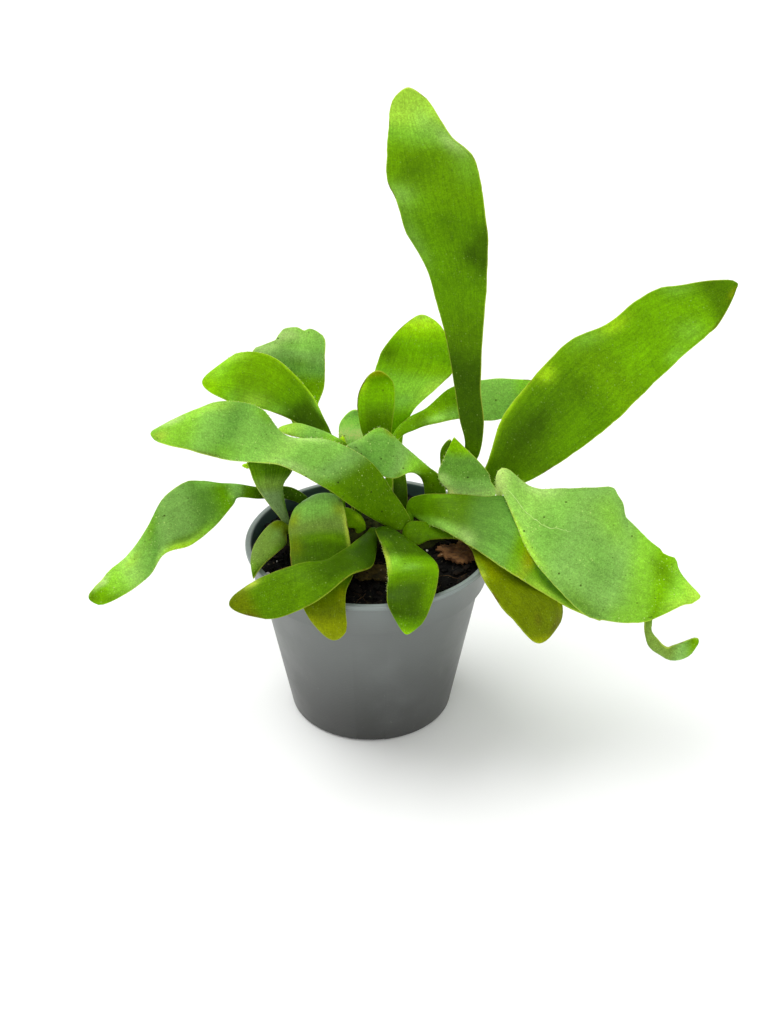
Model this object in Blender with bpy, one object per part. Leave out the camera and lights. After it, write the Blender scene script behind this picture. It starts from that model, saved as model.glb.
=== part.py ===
"""A young staghorn fern growing in a small round nursery pot.

Lengths are in millimetres while a shape is made, and each mesh is scaled to metres when it is finished.
+Z is up, -Y is the front, and the origin is the middle of the pot's flat base.
"""
import math

import bmesh
import bpy
from mathutils import Matrix, Vector

METRES_PER_MM = 0.001
CLEARANCE = 0.35
SHARP_DEGREES = 40

# The plant grows a little to the left of the pot's middle
PLANT_PLACE = (-1.35, 0.0, 0.0)

# Pot: a thin moulding with a rim band that stands out from the tapering wall
POT_HEIGHT = 48.0
RIM_RADIUS = 31.2
RIM_LIP = 1.6
LIP_HEIGHT = 1.2
LIP_ROUNDING = 0.3
BAND_TOP_RADIUS = 30.3
BAND_BOTTOM = 39.0
BAND_BOTTOM_RADIUS = 29.3
STEP_INSIDE = 1.5
BASE_RADIUS = 21.0
WALL_TOP_RADIUS = 28.0
WALL = 0.9
FLOOR = 1.6
POT_SIDES = 48
DRAIN_HOLES = 6
DRAIN_SIDES = 10
DRAIN_RADIUS = 2.2
DRAIN_RING = 14.5
FOOT_NOTCHES = 4
NOTCH_WIDTH = 7.0
NOTCH_HEIGHT = 0.7
NOTCH_DEPTH = 3.5

# Potting mix
SOIL_TOP = 45.0
SOIL_CLEARANCE = 0.5
SOIL_SIDES = 32
SOIL_RINGS = 6

# Rhizome: three lumps grown together, each as (x, y, z) and the three radii
RHIZOME_LUMPS = (
    ((9.5, 6.0, 42.8), (11.8, 9.8, 7.4)),
    ((-3.0, 7.5, 43.0), (9.0, 9.0, 6.5)),
    ((-15.0, 5.0, 43.0), (9.5, 7.5, 5.8)),
)
LUMP_SUBDIVISIONS = 2

# Fronds: a thin blade whose stalk thickens to a wiry, nearly round section
STALK_BREADTH = 2.1
STALK_THICKNESS = 1.7
BLADE_THICKNESS = 0.8
EDGE_THICKNESS = 0.6
BROAD_ENOUGH_TO_BE_THIN = 7.0
STATION_SPACING = 4.8
USUAL_STRIPS = 4
TIP_PLACES = (0.25, 0.5, 0.75, 0.92)
LENGTH_SAMPLES = 200
SLOPE_STEP = 0.02
RUFFLE_TURN_PER_ROW = 2.3
RUFFLE_OFFSET = 1.3
SOCKET_REACH = 1.6

BRIGHT_GREEN = (0.13, 0.33, 0.03)
BLUE_GREEN = (0.11, 0.30, 0.09)
OLIVE_GREEN = (0.20, 0.27, 0.02)

# Each frond's stalk is a line of points from its foot in the rhizome. Each row of its blade holds the
# left edge (x, y, z) and the right edge (x, y, z), looking from the foot to the tip with the upper face
# up. The cup lifts the middle of the blade, and the ruffle is how far its edges wave.
FRONDS = {
    "frond_tall": dict(
        colour=BRIGHT_GREEN, cup=-0.8, ruffle=0.5, tip=(9.5, 16, 153.5), strips=6,
        stalk=((14.8, 11.4, 43.5), (16.6, 13.4, 52), (21.5, 12.8, 59)),
        blade=(
            (25, 12.5, 67, 28.5, 12, 64.5),
            (23.5, 13.5, 74.5, 29.5, 12, 73.5),
            (22, 15, 82.5, 28.5, 13, 82),
            (20, 17, 93.5, 28.5, 15, 93.5),
            (17.5, 19, 102.5, 28.5, 16, 105),
            (14.5, 20, 111.5, 28.5, 17, 113.5),
            (10, 20.5, 119.5, 28.5, 17, 120),
            (8, 21, 125.5, 28, 17, 126),
            (5.5, 21, 131, 27, 17, 132.5),
            (5.5, 20.5, 136.5, 25, 17, 138),
            (5.5, 20, 141.5, 21, 17, 141.5),
            (6.5, 18, 146.5, 17, 17, 147),
        )),
    "frond_upper_right": dict(
        colour=BRIGHT_GREEN, cup=-1.2, ruffle=0.5, tip=(88.5, 17, 107), strips=6,
        stalk=((17.8, 8, 43.5), (20, 9.5, 50), (26.5, 11, 55)),
        blade=(
            (30.5, 13, 61, 39, 9, 58),
            (34, 15, 73, 49, 9, 64.5),
            (41, 17, 83, 58, 10, 71.5),
            (50, 19, 92.5, 66, 12, 79),
            (59.5, 20, 97, 73.5, 14, 86.5),
            (66, 20, 103, 79.5, 15, 92.5),
            (72, 20, 105.5, 83.5, 15, 96.5),
            (78.5, 19, 107.5, 86.5, 16, 99.5),
            (83.5, 18, 108.5, 87, 16, 102),
        )),
    "frond_forked": dict(
        colour=BLUE_GREEN, cup=0.8, ruffle=0.7, tip=(80, -20, 43), strips=6,
        stalk=((15.8, 2.8, 43.5), (19, 4.6, 50), (26, 5, 54.2), (30.5, 4.2, 56.8)),
        blade=(
            (31.5, 3, 64.5, 33.5, 1.8, 59.5),
            (35, 3, 65.5, 35, -2, 59),
            (41.5, 3, 60.5, 36.5, -7, 56),
            (49.5, 2, 60.5, 40, -13, 50.5),
            (59.5, 0, 62.5, 47, -19, 43.5),
            (62, -2, 60.5, 52, -22, 40),
            (64, -5, 57, 57, -23, 38.5),
            (68.5, -9, 53, 65, -24, 38.5),
            (74, -13, 50, 70.5, -23, 40),
            (78, -17, 45.5, 75.5, -22, 42.5),
        ),
        lobe=dict(
            stalk=(), cup=0.3, ruffle=0.0, tip=(80, -22, 32),
            blade=(
                (68.5, -22, 40.5, 65, -23.5, 40.5),
                (68, -24, 37, 66, -24.5, 37),
                (70, -25, 35, 67.5, -25, 33),
                (72.5, -24.5, 31.5, 71, -24.5, 29.5),
                (75.5, -24, 33, 76.5, -23.5, 28.5),
            ))),
    "frond_right_strap": dict(
        colour=BRIGHT_GREEN, cup=1.0, ruffle=0.3, tip=(57.5, -17, 34.5),
        stalk=((8.8, 7.2, 43.5), (9.2, 7.2, 49)),
        blade=(
            (10, 7.5, 54, 11, 6, 50.5),
            (14, 6.5, 56.5, 15, 2.5, 50.5),
            (21, 4, 58, 20, -5, 52.5),
            (28.5, 1.5, 58.5, 26, -11.5, 52),
            (33, 1, 58.5, 30, -17, 51),
            (40.5, -5, 50, 36, -18.5, 48.5),
            (47, -9, 43, 42, -17.5, 43.5),
            (52.5, -13, 38.5, 50, -17, 38),
        )),
    "frond_right_under": dict(
        colour=OLIVE_GREEN, cup=0.6, ruffle=0.5, tip=(44, -27, 36),
        stalk=((13.4, -0.2, 43.5), (14.4, -1, 49.2)),
        blade=(
            (18.5, -1.5, 50.6, 17, -4, 50),
            (24.5, -3, 50.2, 22.5, -9, 49.8),
            (32, -8, 49.6, 26, -17, 49.6),
            (37.5, -12, 45, 29.5, -21, 46),
            (44, -14, 40, 33.5, -25, 43.5),
            (48, -16, 37.5, 37.5, -27, 38.5),
        )),
    "frond_right_short": dict(
        colour=BLUE_GREEN, cup=1.2, ruffle=0.2, tip=(22.5, 8.5, 71),
        stalk=((12.8, 6, 43.5), (14, 6.2, 49)),
        blade=(
            (17, 7, 53, 19.5, 6.5, 52),
            (21, 8, 56, 31.5, 7, 57),
            (18.5, 8.5, 61.5, 29.5, 8, 63),
            (21, 9, 67, 25.5, 8.5, 67.5),
        )),
    "frond_centre": dict(
        colour=BLUE_GREEN, cup=0.9, ruffle=0.2, tip=(-4.4, 5.4, 70.8),
        stalk=((12.5, 10.2, 43.5), (14.5, 10.6, 48)),
        blade=(
            (15, 11, 53, 20.5, 10.5, 52.5),
            (14.5, 10.5, 59, 18.5, 10, 59.5),
            (11, 4, 65, 15, 9.5, 64),
            (7, 3.5, 65.2, 9.5, 10, 68.5),
            (2.3, 5, 65.8, 4, 11, 73),
            (-1.4, 5, 68.2, -1.2, 9.5, 70.6),
        )),
    "frond_spoon": dict(
        colour=OLIVE_GREEN, cup=-0.6, ruffle=0.2, tip=(3, 15, 86.5),
        stalk=((2.2, 11.5, 43.5), (2.4, 13.5, 56)),
        blade=(
            (0, 15, 66, 6, 15, 65.5),
            (-1, 15.5, 71.5, 6.5, 15.5, 71.5),
            (-1.5, 16, 77.5, 7, 16, 77.5),
            (-0.5, 16, 82, 6.5, 16, 83.5),
        )),
    "frond_back_tall": dict(
        colour=BRIGHT_GREEN, cup=-0.8, ruffle=0.3, tip=(14.5, 29, 95),
        stalk=((8.8, 12.5, 43.5), (10.2, 14, 54)),
        blade=(
            (6.5, 21, 64.5, 9.5, 21, 64),
            (4.5, 22, 71, 12, 22, 72),
            (2, 25, 77.5, 18, 22, 78.5),
            (3.5, 28, 84.5, 22.5, 24, 83),
            (7.5, 29, 90.5, 21.5, 26, 88.5),
        )),
    "frond_back_small": dict(
        colour=BLUE_GREEN, cup=-0.4, ruffle=0.1, tip=(-3, 22, 73),
        stalk=((-1.2, 13.2, 43.5), (-2.6, 16, 54)),
        blade=(
            (-6, 20, 61.5, -1, 20, 60.5),
            (-6.5, 21, 66.5, -0.5, 21, 65.5),
            (-4.5, 22, 69.5, -1, 22, 69),
        )),
    "frond_back_strap": dict(
        colour=BLUE_GREEN, cup=0.4, ruffle=0.3, tip=(47.5, 31, 73.5),
        stalk=((5.9, 10.8, 43.5), (5.9, 12.5, 54)),
        blade=(
            (6.5, 17, 66.5, 8, 16, 66),
            (10.5, 19, 71.5, 13, 18, 69),
            (15.5, 22, 73, 19, 19, 70.5),
            (22, 26, 77, 24.5, 21, 70.5),
            (31.5, 29, 78, 32.5, 24, 68.5),
            (39.5, 31, 77, 40, 27, 69.5),
            (44, 31, 76.5, 44.5, 29, 70.5),
        )),
    "frond_back_left": dict(
        colour=BLUE_GREEN, cup=-0.6, ruffle=0.6, tip=(-15.5, 27, 93),
        stalk=((-7.5, 10.8, 43.5), (-8.5, 14, 55)),
        blade=(
            (-16.5, 19, 65.5, -11, 17, 67.5),
            (-20.5, 22, 72.5, -12, 19, 74),
            (-25.5, 25, 78, -10.5, 21, 79),
            (-28.5, 27, 85, -10, 23, 85.5),
            (-24, 28, 88, -9.5, 24, 89.5),
            (-19.5, 28, 91, -11, 25, 92),
        )),
    "frond_left_upper": dict(
        colour=BRIGHT_GREEN, cup=0.8, ruffle=0.3, tip=(-39.5, 12, 85),
        stalk=((-2.2, 9.4, 43.5), (-3.5, 11, 57)),
        blade=(
            (-10.5, 12, 67, -6.5, 14, 67),
            (-16.5, 11, 74, -9.5, 16, 73),
            (-23.5, 9, 78.5, -14, 17, 80.5),
            (-30.5, 7, 81, -22, 17, 89),
            (-33.5, 7.5, 82, -31.5, 16, 90.5),
        )),
    "frond_left_long": dict(
        colour=BLUE_GREEN, cup=0.8, ruffle=0.5, tip=(-48.5, -9, 81.5),
        stalk=((9.5, 2.5, 43.5), (9.9, 2.4, 47.5)),
        blade=(
            (5, 2.5, 49.5, 11.5, 3, 51.5),
            (-2, -1, 56.5, 7.5, 4, 58),
            (-9, -4, 64, 1.5, 4, 67),
            (-17.5, -7, 71, -8.5, 3, 73.5),
            (-24, -9, 73.5, -18.5, 1, 76),
            (-31, -11, 75.5, -24.5, 0, 83.5),
            (-38, -12, 78, -32, -2, 86.5),
            (-43, -12, 80, -41, -5, 84.5),
        )),
    "frond_left_behind": dict(
        colour=BLUE_GREEN, cup=0.3, ruffle=0.1, tip=(-21, 7, 74.5),
        stalk=((-1.6, 6.3, 43.5), (-2, 6.6, 56), (-2.6, 6.8, 63)),
        blade=(
            (-4.8, 6.8, 67.4, -3.2, 8, 68.6),
            (-11.5, 5, 71, -8, 8, 72.5),
            (-15.5, 4.5, 73.5, -14, 8, 75),
            (-18.5, 5, 74, -17.5, 8, 75.5),
        )),
    "frond_left_twisted": dict(
        colour=BLUE_GREEN, cup=0.6, ruffle=0.3, tip=(-66, -17, 41),
        stalk=((-13.2, 8, 43.5), (-13.6, 8.6, 49)),
        blade=(
            (-16, 9, 52, -14, 10, 53),
            (-21, 9, 54, -19, 10.5, 56.5),
            (-27, 7, 55, -26, 8.5, 57.5),
            (-31.5, 4, 57, -31.5, 6.5, 59.5),
            (-32.5, 0, 57, -35.5, 5, 60.5),
            (-37, -5, 53.5, -40, 3, 62.5),
            (-42.5, -8, 50.5, -44, 0, 63.5),
            (-48, -11, 50, -49, -4, 61),
            (-51.5, -13, 45.5, -52.5, -8, 55.5),
            (-54.5, -15, 43, -56, -11, 50.5),
            (-58, -16, 41, -60, -13, 47),
            (-62, -17, 39.5, -64, -15, 43),
        )),
    "frond_left_standing": dict(
        colour=BLUE_GREEN, cup=-1.0, ruffle=0.2, tip=(-23, 6, 72),
        stalk=((-19.3, 4.4, 43.5), (-20, 4, 50.5)),
        blade=(
            (-20, 5, 54.5, -23.5, 3, 55),
            (-20.5, 6, 59.5, -26.5, 2, 61),
            (-18, 7, 63, -28, 2, 65.5),
            (-16.5, 8, 67.5, -28.5, 3, 69),
        )),
    "frond_left_rim": dict(
        colour=BLUE_GREEN, cup=0.5, ruffle=0.1, tip=(-25.5, -20, 48.5),
        stalk=((-16.8, 0.6, 43.5), (-17.6, 0.8, 48)),
        blade=(
            (-19, 0, 48.5, -22, 3, 51),
            (-20, -5, 48, -25.5, 0, 50),
            (-22, -12, 49.5, -27, -6, 50.5),
            (-23, -17, 50.5, -26.5, -13, 51.5),
        )),
    "frond_front_arched": dict(
        colour=OLIVE_GREEN, cup=1.6, ruffle=0.3, tip=(-8, -34.5, 41.5),
        stalk=((-9.5, 5.5, 43.5), (-10, 6.2, 51)),
        blade=(
            (-9, 4.5, 57, -13.5, 4.5, 56),
            (-6, 0, 58.5, -18, 0, 55),
            (-4.5, -3, 55, -18.5, -4, 53),
            (-3.5, -8, 51.8, -18, -10, 52),
            (-2.5, -17.5, 49, -17, -20, 51),
            (-4, -27, 49.7, -15, -29, 50),
            (-4, -32.5, 48, -13.5, -32.5, 48),
            (-4.5, -34.5, 44, -11, -34, 44.5),
        )),
    "frond_front_long": dict(
        colour=BRIGHT_GREEN, cup=0.6, ruffle=0.3, tip=(-30.5, -32, 49),
        stalk=((2.4, 2.6, 43.5), (2.2, 2.2, 48.5)),
        blade=(
            (3, -3, 48, 0, 0, 49),
            (2, -18, 51, -4.5, -14, 53),
            (-3, -29, 55, -8.5, -23, 56),
            (-8.5, -36, 54.5, -13.5, -28, 58),
            (-14.5, -37, 51, -19.5, -30, 57),
            (-22, -36, 48, -25.5, -30, 54),
        )),
    "frond_front_centre": dict(
        colour=OLIVE_GREEN, cup=0.8, ruffle=0.4, tip=(10, -34, 42.5),
        stalk=((6, -0.3, 43.5), (6, -0.6, 49)),
        blade=(
            (8, -3, 51, 4, -3, 49.5),
            (13.5, -9, 50, 4.5, -9, 49),
            (17.5, -17, 50, 5.5, -17, 49.5),
            (17, -26, 51, 5.5, -26, 50),
            (15.5, -32, 49, 5.5, -31, 49),
            (13.5, -34, 45.5, 7.5, -33.5, 45.5),
        )),
    "frond_front_small": dict(
        colour=OLIVE_GREEN, cup=0.2, ruffle=0.0, tip=(-5.5, 1, 55.5),
        stalk=((-1.2, 3.2, 43.5),),
        blade=(
            (-2.5, 2, 49, 0, 4, 49.5),
            (-4.5, 1, 50.5, -2, 3, 53.5),
        )),
    "frond_bud": dict(
        colour=BRIGHT_GREEN, cup=0.0, ruffle=0.0, tip=(-5.5, 9.5, 71.5),
        stalk=((-5.6, 7.6, 43.5), (-6.2, 8.6, 56)),
        blade=(
            (-6.8, 9.5, 67, -4.4, 9.5, 67),
        )),
}

# Scraps of dead leaf on the soil: middle (x, y), half length, half breadth, turn, rise of the curled edges
SCRAP_THICKNESS = 0.8
SCRAP_LIFT = 0.7
SCRAP_TEAR = 0.12
SCRAP_CORNER_ROUNDING = 0.18
SCRAPS = {
    "scrap_dry_leaf": dict(
        colour=(0.16, 0.07, 0.03), middle=(22.9, -4.4), half_length=5.0, half_breadth=4.2, turn=20.0, curl=0.9),
    "scrap_old_frond": dict(
        colour=(0.07, 0.05, 0.015), middle=(1.6, -13.4), half_length=5.8, half_breadth=3.8, turn=75.0, curl=0.6),
}


def clear_scene():
    for thing in list(bpy.data.objects):
        bpy.data.objects.remove(thing, do_unlink=True)


def material(name, colour, roughness=0.5):
    made = bpy.data.materials.new(name)
    made.use_nodes = True
    shader = made.node_tree.nodes["Principled BSDF"]
    shader.inputs["Base Color"].default_value = (*colour, 1.0)
    shader.inputs["Roughness"].default_value = roughness
    shader.inputs["Metallic"].default_value = 0.0
    return made


def finished(name, bm, surface, collection=None, place=(0.0, 0.0, 0.0)):
    """Turns a millimetre bmesh into a named object in metres."""
    bmesh.ops.recalc_face_normals(bm, faces=bm.faces)
    if bm.calc_volume(signed=True) < 0:
        bmesh.ops.reverse_faces(bm, faces=bm.faces)
    bmesh.ops.translate(bm, vec=Vector(place), verts=bm.verts)
    bmesh.ops.scale(bm, vec=Vector((METRES_PER_MM,) * 3), verts=bm.verts)
    mesh = bpy.data.meshes.new(name)
    bm.to_mesh(mesh)
    bm.free()
    mesh.shade_smooth()
    mesh.set_sharp_from_angle(angle=math.radians(SHARP_DEGREES))
    piece = bpy.data.objects.new(name, mesh)
    (collection or bpy.context.scene.collection).objects.link(piece)
    if surface:
        mesh.materials.append(surface)
    return piece


def hidden_collection(name):
    group = bpy.data.collections.new(name)
    bpy.context.scene.collection.children.link(group)
    return group


def hide(piece):
    piece.hide_render = True
    piece.display_type = "WIRE"


def boolean(piece, other, operation):
    """Adds an exact Boolean with an object or with every object of a collection."""
    step = piece.modifiers.new(operation.lower(), "BOOLEAN")
    step.operation = operation
    step.solver = "EXACT"
    if isinstance(other, bpy.types.Collection):
        step.operand_type = "COLLECTION"
        step.collection = other
    else:
        step.object = other


# Pot

def wall_radius(z):
    """Outside radius of the tapering wall."""
    return BASE_RADIUS + (WALL_TOP_RADIUS - BASE_RADIUS) * z / BAND_BOTTOM


def band_inside(z):
    """Inside radius of the rim band."""
    up = (z - BAND_BOTTOM) / (POT_HEIGHT - LIP_HEIGHT - BAND_BOTTOM)
    return BAND_BOTTOM_RADIUS + (BAND_TOP_RADIUS - BAND_BOTTOM_RADIUS) * up - WALL


def turned(profile, sides):
    """Spins a profile of (radius, z) points about the Z axis into a closed solid."""
    bm = bmesh.new()
    points = [bm.verts.new((radius, 0, z)) for radius, z in profile]
    edges = [bm.edges.new(pair) for pair in zip(points, points[1:])]
    bmesh.ops.spin(bm, geom=points + edges, cent=(0, 0, 0), axis=(0, 0, 1), angle=math.tau, steps=sides,
                   use_merge=True)
    bmesh.ops.remove_doubles(bm, verts=bm.verts, dist=0.001)
    return bm


def make_pot():
    lip_inside = RIM_RADIUS - RIM_LIP
    profile = (
        (0, 0),
        (BASE_RADIUS, 0),
        (wall_radius(BAND_BOTTOM), BAND_BOTTOM),
        (BAND_BOTTOM_RADIUS, BAND_BOTTOM),
        (BAND_TOP_RADIUS, POT_HEIGHT - LIP_HEIGHT),
        (RIM_RADIUS, POT_HEIGHT - LIP_HEIGHT),
        (RIM_RADIUS, POT_HEIGHT - LIP_ROUNDING),
        (RIM_RADIUS - LIP_ROUNDING, POT_HEIGHT),
        (lip_inside + LIP_ROUNDING, POT_HEIGHT),
        (lip_inside, POT_HEIGHT - LIP_ROUNDING),
        (band_inside(POT_HEIGHT - LIP_HEIGHT), POT_HEIGHT - LIP_HEIGHT),
        (band_inside(BAND_BOTTOM + STEP_INSIDE), BAND_BOTTOM + STEP_INSIDE),
        (wall_radius(BAND_BOTTOM) - WALL, BAND_BOTTOM),
        (wall_radius(FLOOR) - WALL, FLOOR),
        (0, FLOOR),
    )
    surface = material("grey nursery pot", (0.13, 0.14, 0.145), roughness=0.45)
    pot = finished("pot", turned(profile, POT_SIDES), surface)
    cutters = hidden_collection("pot cutters")
    for index in range(DRAIN_HOLES):
        around = Matrix.Rotation(math.tau * (index + 0.5) / DRAIN_HOLES, 4, "Z")
        bm = bmesh.new()
        bmesh.ops.create_cone(bm, cap_ends=True, segments=DRAIN_SIDES, radius1=DRAIN_RADIUS,
                              radius2=DRAIN_RADIUS, depth=3 * FLOOR,
                              matrix=around @ Matrix.Translation((DRAIN_RING, 0, FLOOR / 2)))
        hide(finished(f"drain cutter {index}", bm, None, cutters))
    for index in range(FOOT_NOTCHES):
        around = Matrix.Rotation(math.tau * index / FOOT_NOTCHES, 4, "Z")
        size = Matrix.Diagonal((NOTCH_WIDTH, 2 * NOTCH_DEPTH, 2 * NOTCH_HEIGHT, 1))
        bm = bmesh.new()
        bmesh.ops.create_cube(bm, size=1, matrix=around @ Matrix.Translation((0, -BASE_RADIUS, 0)) @ size)
        hide(finished(f"notch cutter {index}", bm, None, cutters))
    boolean(pot, cutters, "DIFFERENCE")


# Soil and rhizome

def soil_height(x, y):
    """Height of the potting mix, with the low heaps that watering leaves."""
    heaps = 0.35 * math.sin(0.45 * x + 1.0) * math.cos(0.38 * y) + 0.2 * math.sin(0.9 * x - 0.7 * y)
    return SOIL_TOP + heaps


def make_soil(hollow):
    inside = band_inside(SOIL_TOP) - SOIL_CLEARANCE
    step = BAND_BOTTOM + STEP_INSIDE
    profile = [(inside * index / SOIL_RINGS, SOIL_TOP) for index in range(SOIL_RINGS + 1)]
    profile.append((band_inside(step) - SOIL_CLEARANCE, step))
    profile.append((wall_radius(BAND_BOTTOM) - WALL - SOIL_CLEARANCE, BAND_BOTTOM))
    profile.append((wall_radius(FLOOR) - WALL - SOIL_CLEARANCE, FLOOR + CLEARANCE))
    profile.append((0, FLOOR + CLEARANCE))
    bm = turned(profile, SOIL_SIDES)
    for corner in bm.verts:
        if abs(corner.co.z - SOIL_TOP) < 0.001:
            corner.co.z = soil_height(corner.co.x, corner.co.y)
    soil = finished("soil", bm, material("potting mix", (0.018, 0.013, 0.01), roughness=0.95))
    boolean(soil, hollow, "DIFFERENCE")


def grown_together(name, swell, surface):
    """All the lumps as one solid, swollen by a margin: the first lump has the others joined to it."""
    others = hidden_collection(f"{name} lumps")
    pieces = []
    for index, (middle, radii) in enumerate(RHIZOME_LUMPS):
        size = Matrix.Diagonal((radii[0] + swell, radii[1] + swell, radii[2] + swell, 1))
        bm = bmesh.new()
        bmesh.ops.create_icosphere(bm, subdivisions=LUMP_SUBDIVISIONS, radius=1,
                                   matrix=Matrix.Translation(middle) @ size)
        if index == 0:
            pieces.append(finished(name, bm, surface, place=PLANT_PLACE))
        else:
            pieces.append(finished(f"{name} lump {index}", bm, None, others, place=PLANT_PLACE))
            hide(pieces[-1])
    boolean(pieces[0], others, "UNION")
    return pieces[0]


# Fronds

def edge_rows(frond):
    """The left and right edge at each row, foot first: the stalk's rows, then the blade's."""
    blade = [(Vector(row[:3]), Vector(row[3:])) for row in frond["blade"]]
    stalk = [Vector(point) for point in frond["stalk"]]
    across = (blade[0][1] - blade[0][0]).normalized()
    middles = stalk + [(blade[0][0] + blade[0][1]) / 2]
    rows = []
    for index, point in enumerate(stalk):
        direction = (middles[index + 1] - middles[max(index - 1, 0)]).normalized()
        side = (across - direction * across.dot(direction)).normalized() * STALK_BREADTH / 2
        rows.append((point - side, point + side))
    return rows + blade


def smooth_between(before, start, end, after, part):
    """A Catmull-Rom curve from start to end, part of the way along."""
    return 0.5 * (2 * start + (end - before) * part + (2 * before - 5 * start + 4 * end - after) * part ** 2
                  + (3 * start - before - 3 * end + after) * part ** 3)


def section(rows, tip, place):
    """Middle, half breadth as a vector and closing factor at a place counted in rows from the foot.

    Past the last row the blade closes over one more unit, as a quarter of an ellipse that ends at the tip.
    """
    middles = [(left + right) / 2 for left, right in rows]
    halves = [(right - left) / 2 for left, right in rows]
    last = len(rows) - 1
    if place > last:
        angle = (place - last) * math.pi / 2
        return middles[last] + (tip - middles[last]) * math.sin(angle), halves[last], math.cos(angle)
    start = min(int(place), last - 1)
    picked = []
    for values, beyond in ((middles, tip), (halves, halves[last])):
        before = values[start - 1] if start else 2 * values[0] - values[1]
        after = values[start + 2] if start + 2 <= last else beyond
        picked.append(smooth_between(before, values[start], values[start + 1], after, place - start))
    return picked[0], picked[1], 1.0


def stations(rows, tip):
    """Places along a frond, evenly spaced by length, with a few more to round off the tip."""
    end = len(rows) - 1
    samples = [end * index / LENGTH_SAMPLES for index in range(LENGTH_SAMPLES + 1)]
    middles = [section(rows, tip, place)[0] for place in samples]
    lengths = [0.0]
    for here, there in zip(middles, middles[1:]):
        lengths.append(lengths[-1] + (there - here).length)
    count = max(2, round(lengths[-1] / STATION_SPACING))
    places = []
    for index in range(count + 1):
        wanted = lengths[-1] * index / count
        nearest = min(range(len(samples)), key=lambda at: abs(lengths[at] - wanted))
        places.append(samples[nearest])
    return places + [end + part for part in TIP_PLACES]


def frond_point(frond, rows, place, across, face, swell):
    """A point of a frond: across runs from -1 to 1, face is -1 below and 1 above, and swell is a margin."""
    tip = Vector(frond["tip"])
    middle, half, closing = section(rows, tip, place)
    ahead = section(rows, tip, min(place + SLOPE_STEP, len(rows)))[0]
    behind = section(rows, tip, max(place - SLOPE_STEP, 0))[0]
    direction = (ahead - behind).normalized()
    upward = half.cross(direction).normalized()
    widest = max((right - left).length for left, right in rows)
    breadth = 2 * half.length
    spread = breadth / widest * closing
    slimming = min(max((BROAD_ENOUGH_TO_BE_THIN - breadth) / (BROAD_ENOUGH_TO_BE_THIN - STALK_BREADTH), 0), 1)
    middle_half = (BLADE_THICKNESS + (STALK_THICKNESS - BLADE_THICKNESS) * slimming) / 2
    edge_half = EDGE_THICKNESS / 2
    thickness = edge_half + (middle_half - edge_half) * math.sqrt(1 - across ** 2)
    lift = frond["cup"] * (1 - across ** 2) * spread
    wave = math.sin(RUFFLE_TURN_PER_ROW * place + RUFFLE_OFFSET * across)
    lift += frond["ruffle"] * abs(across) ** 3 * wave * spread
    sideways = half * closing + half.normalized() * swell
    return middle + sideways * across + upward * (lift + face * (thickness + swell))


def bent_plate(frond, last_place=None, swell=0.0):
    """A plate extruded from a triangulated grid and bent into a frond, or into its start up to last_place."""
    rows = edge_rows(frond)
    strips = frond.get("strips", USUAL_STRIPS)
    places = stations(rows, Vector(frond["tip"]))
    if last_place is not None:
        places = [place for place in places if place <= last_place]
    bm = bmesh.new()
    bmesh.ops.create_grid(bm, x_segments=strips, y_segments=len(places) - 1, size=1)
    bmesh.ops.triangulate(bm, faces=bm.faces)
    lower = list(bm.verts)
    raised = bmesh.ops.extrude_face_region(bm, geom=bm.faces[:], use_keep_orig=True)["geom"]
    upper = [item for item in raised if isinstance(item, bmesh.types.BMVert)]
    for corners, face in ((lower, -1), (upper, 1)):
        for corner in corners:
            place = places[round((corner.co.y + 1) / 2 * (len(places) - 1))]
            corner.co = frond_point(frond, rows, place, corner.co.x, face, swell)
    return bm


def make_frond(name, frond, sockets):
    """A frond, and a swollen copy of its stalk that cuts its socket."""
    surface = material(name.replace("_", " "), frond["colour"], roughness=0.42)
    piece = finished(name, bent_plate(frond), surface, place=PLANT_PLACE)
    socket = bent_plate(frond, last_place=len(frond["stalk"]) + SOCKET_REACH, swell=CLEARANCE)
    foot = Vector(frond["stalk"][0])
    for corner in socket.verts:
        if (corner.co - foot).length < STALK_BREADTH:
            corner.co.z -= CLEARANCE
    hide(finished(f"{name} socket", socket, None, sockets, place=PLANT_PLACE))
    if "lobe" in frond:
        horn = finished(f"{name} lobe", bent_plate(frond["lobe"]), None, place=PLANT_PLACE)
        hide(horn)
        boolean(piece, horn, "UNION")


def make_scrap(name, scrap):
    """A curled piece of dead leaf that lies on the potting mix."""
    middle = Vector((*scrap["middle"], 0))
    turn = Matrix.Rotation(math.radians(scrap["turn"]), 3, "Z")
    bm = bmesh.new()
    bmesh.ops.create_grid(bm, x_segments=5, y_segments=6, size=1)
    bmesh.ops.triangulate(bm, faces=bm.faces)
    lower = list(bm.verts)
    raised = bmesh.ops.extrude_face_region(bm, geom=bm.faces[:], use_keep_orig=True)["geom"]
    upper = [item for item in raised if isinstance(item, bmesh.types.BMVert)]
    for corners, height in ((lower, 0.0), (upper, SCRAP_THICKNESS)):
        for corner in corners:
            x, y = corner.co.x, corner.co.y
            torn = 1 + SCRAP_TEAR * math.sin(5 * x + 3 * y) - SCRAP_CORNER_ROUNDING * (x * y) ** 2
            flat = turn @ Vector((x * scrap["half_breadth"] * torn, y * scrap["half_length"] * torn, 0))
            spot = middle + flat
            above = SCRAP_LIFT + scrap["curl"] * x ** 2 + height
            corner.co = (spot.x, spot.y, soil_height(spot.x, spot.y) + above)
    finished(name, bm, material(name.replace("_", " "), scrap["colour"], roughness=0.9), place=PLANT_PLACE)


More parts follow.
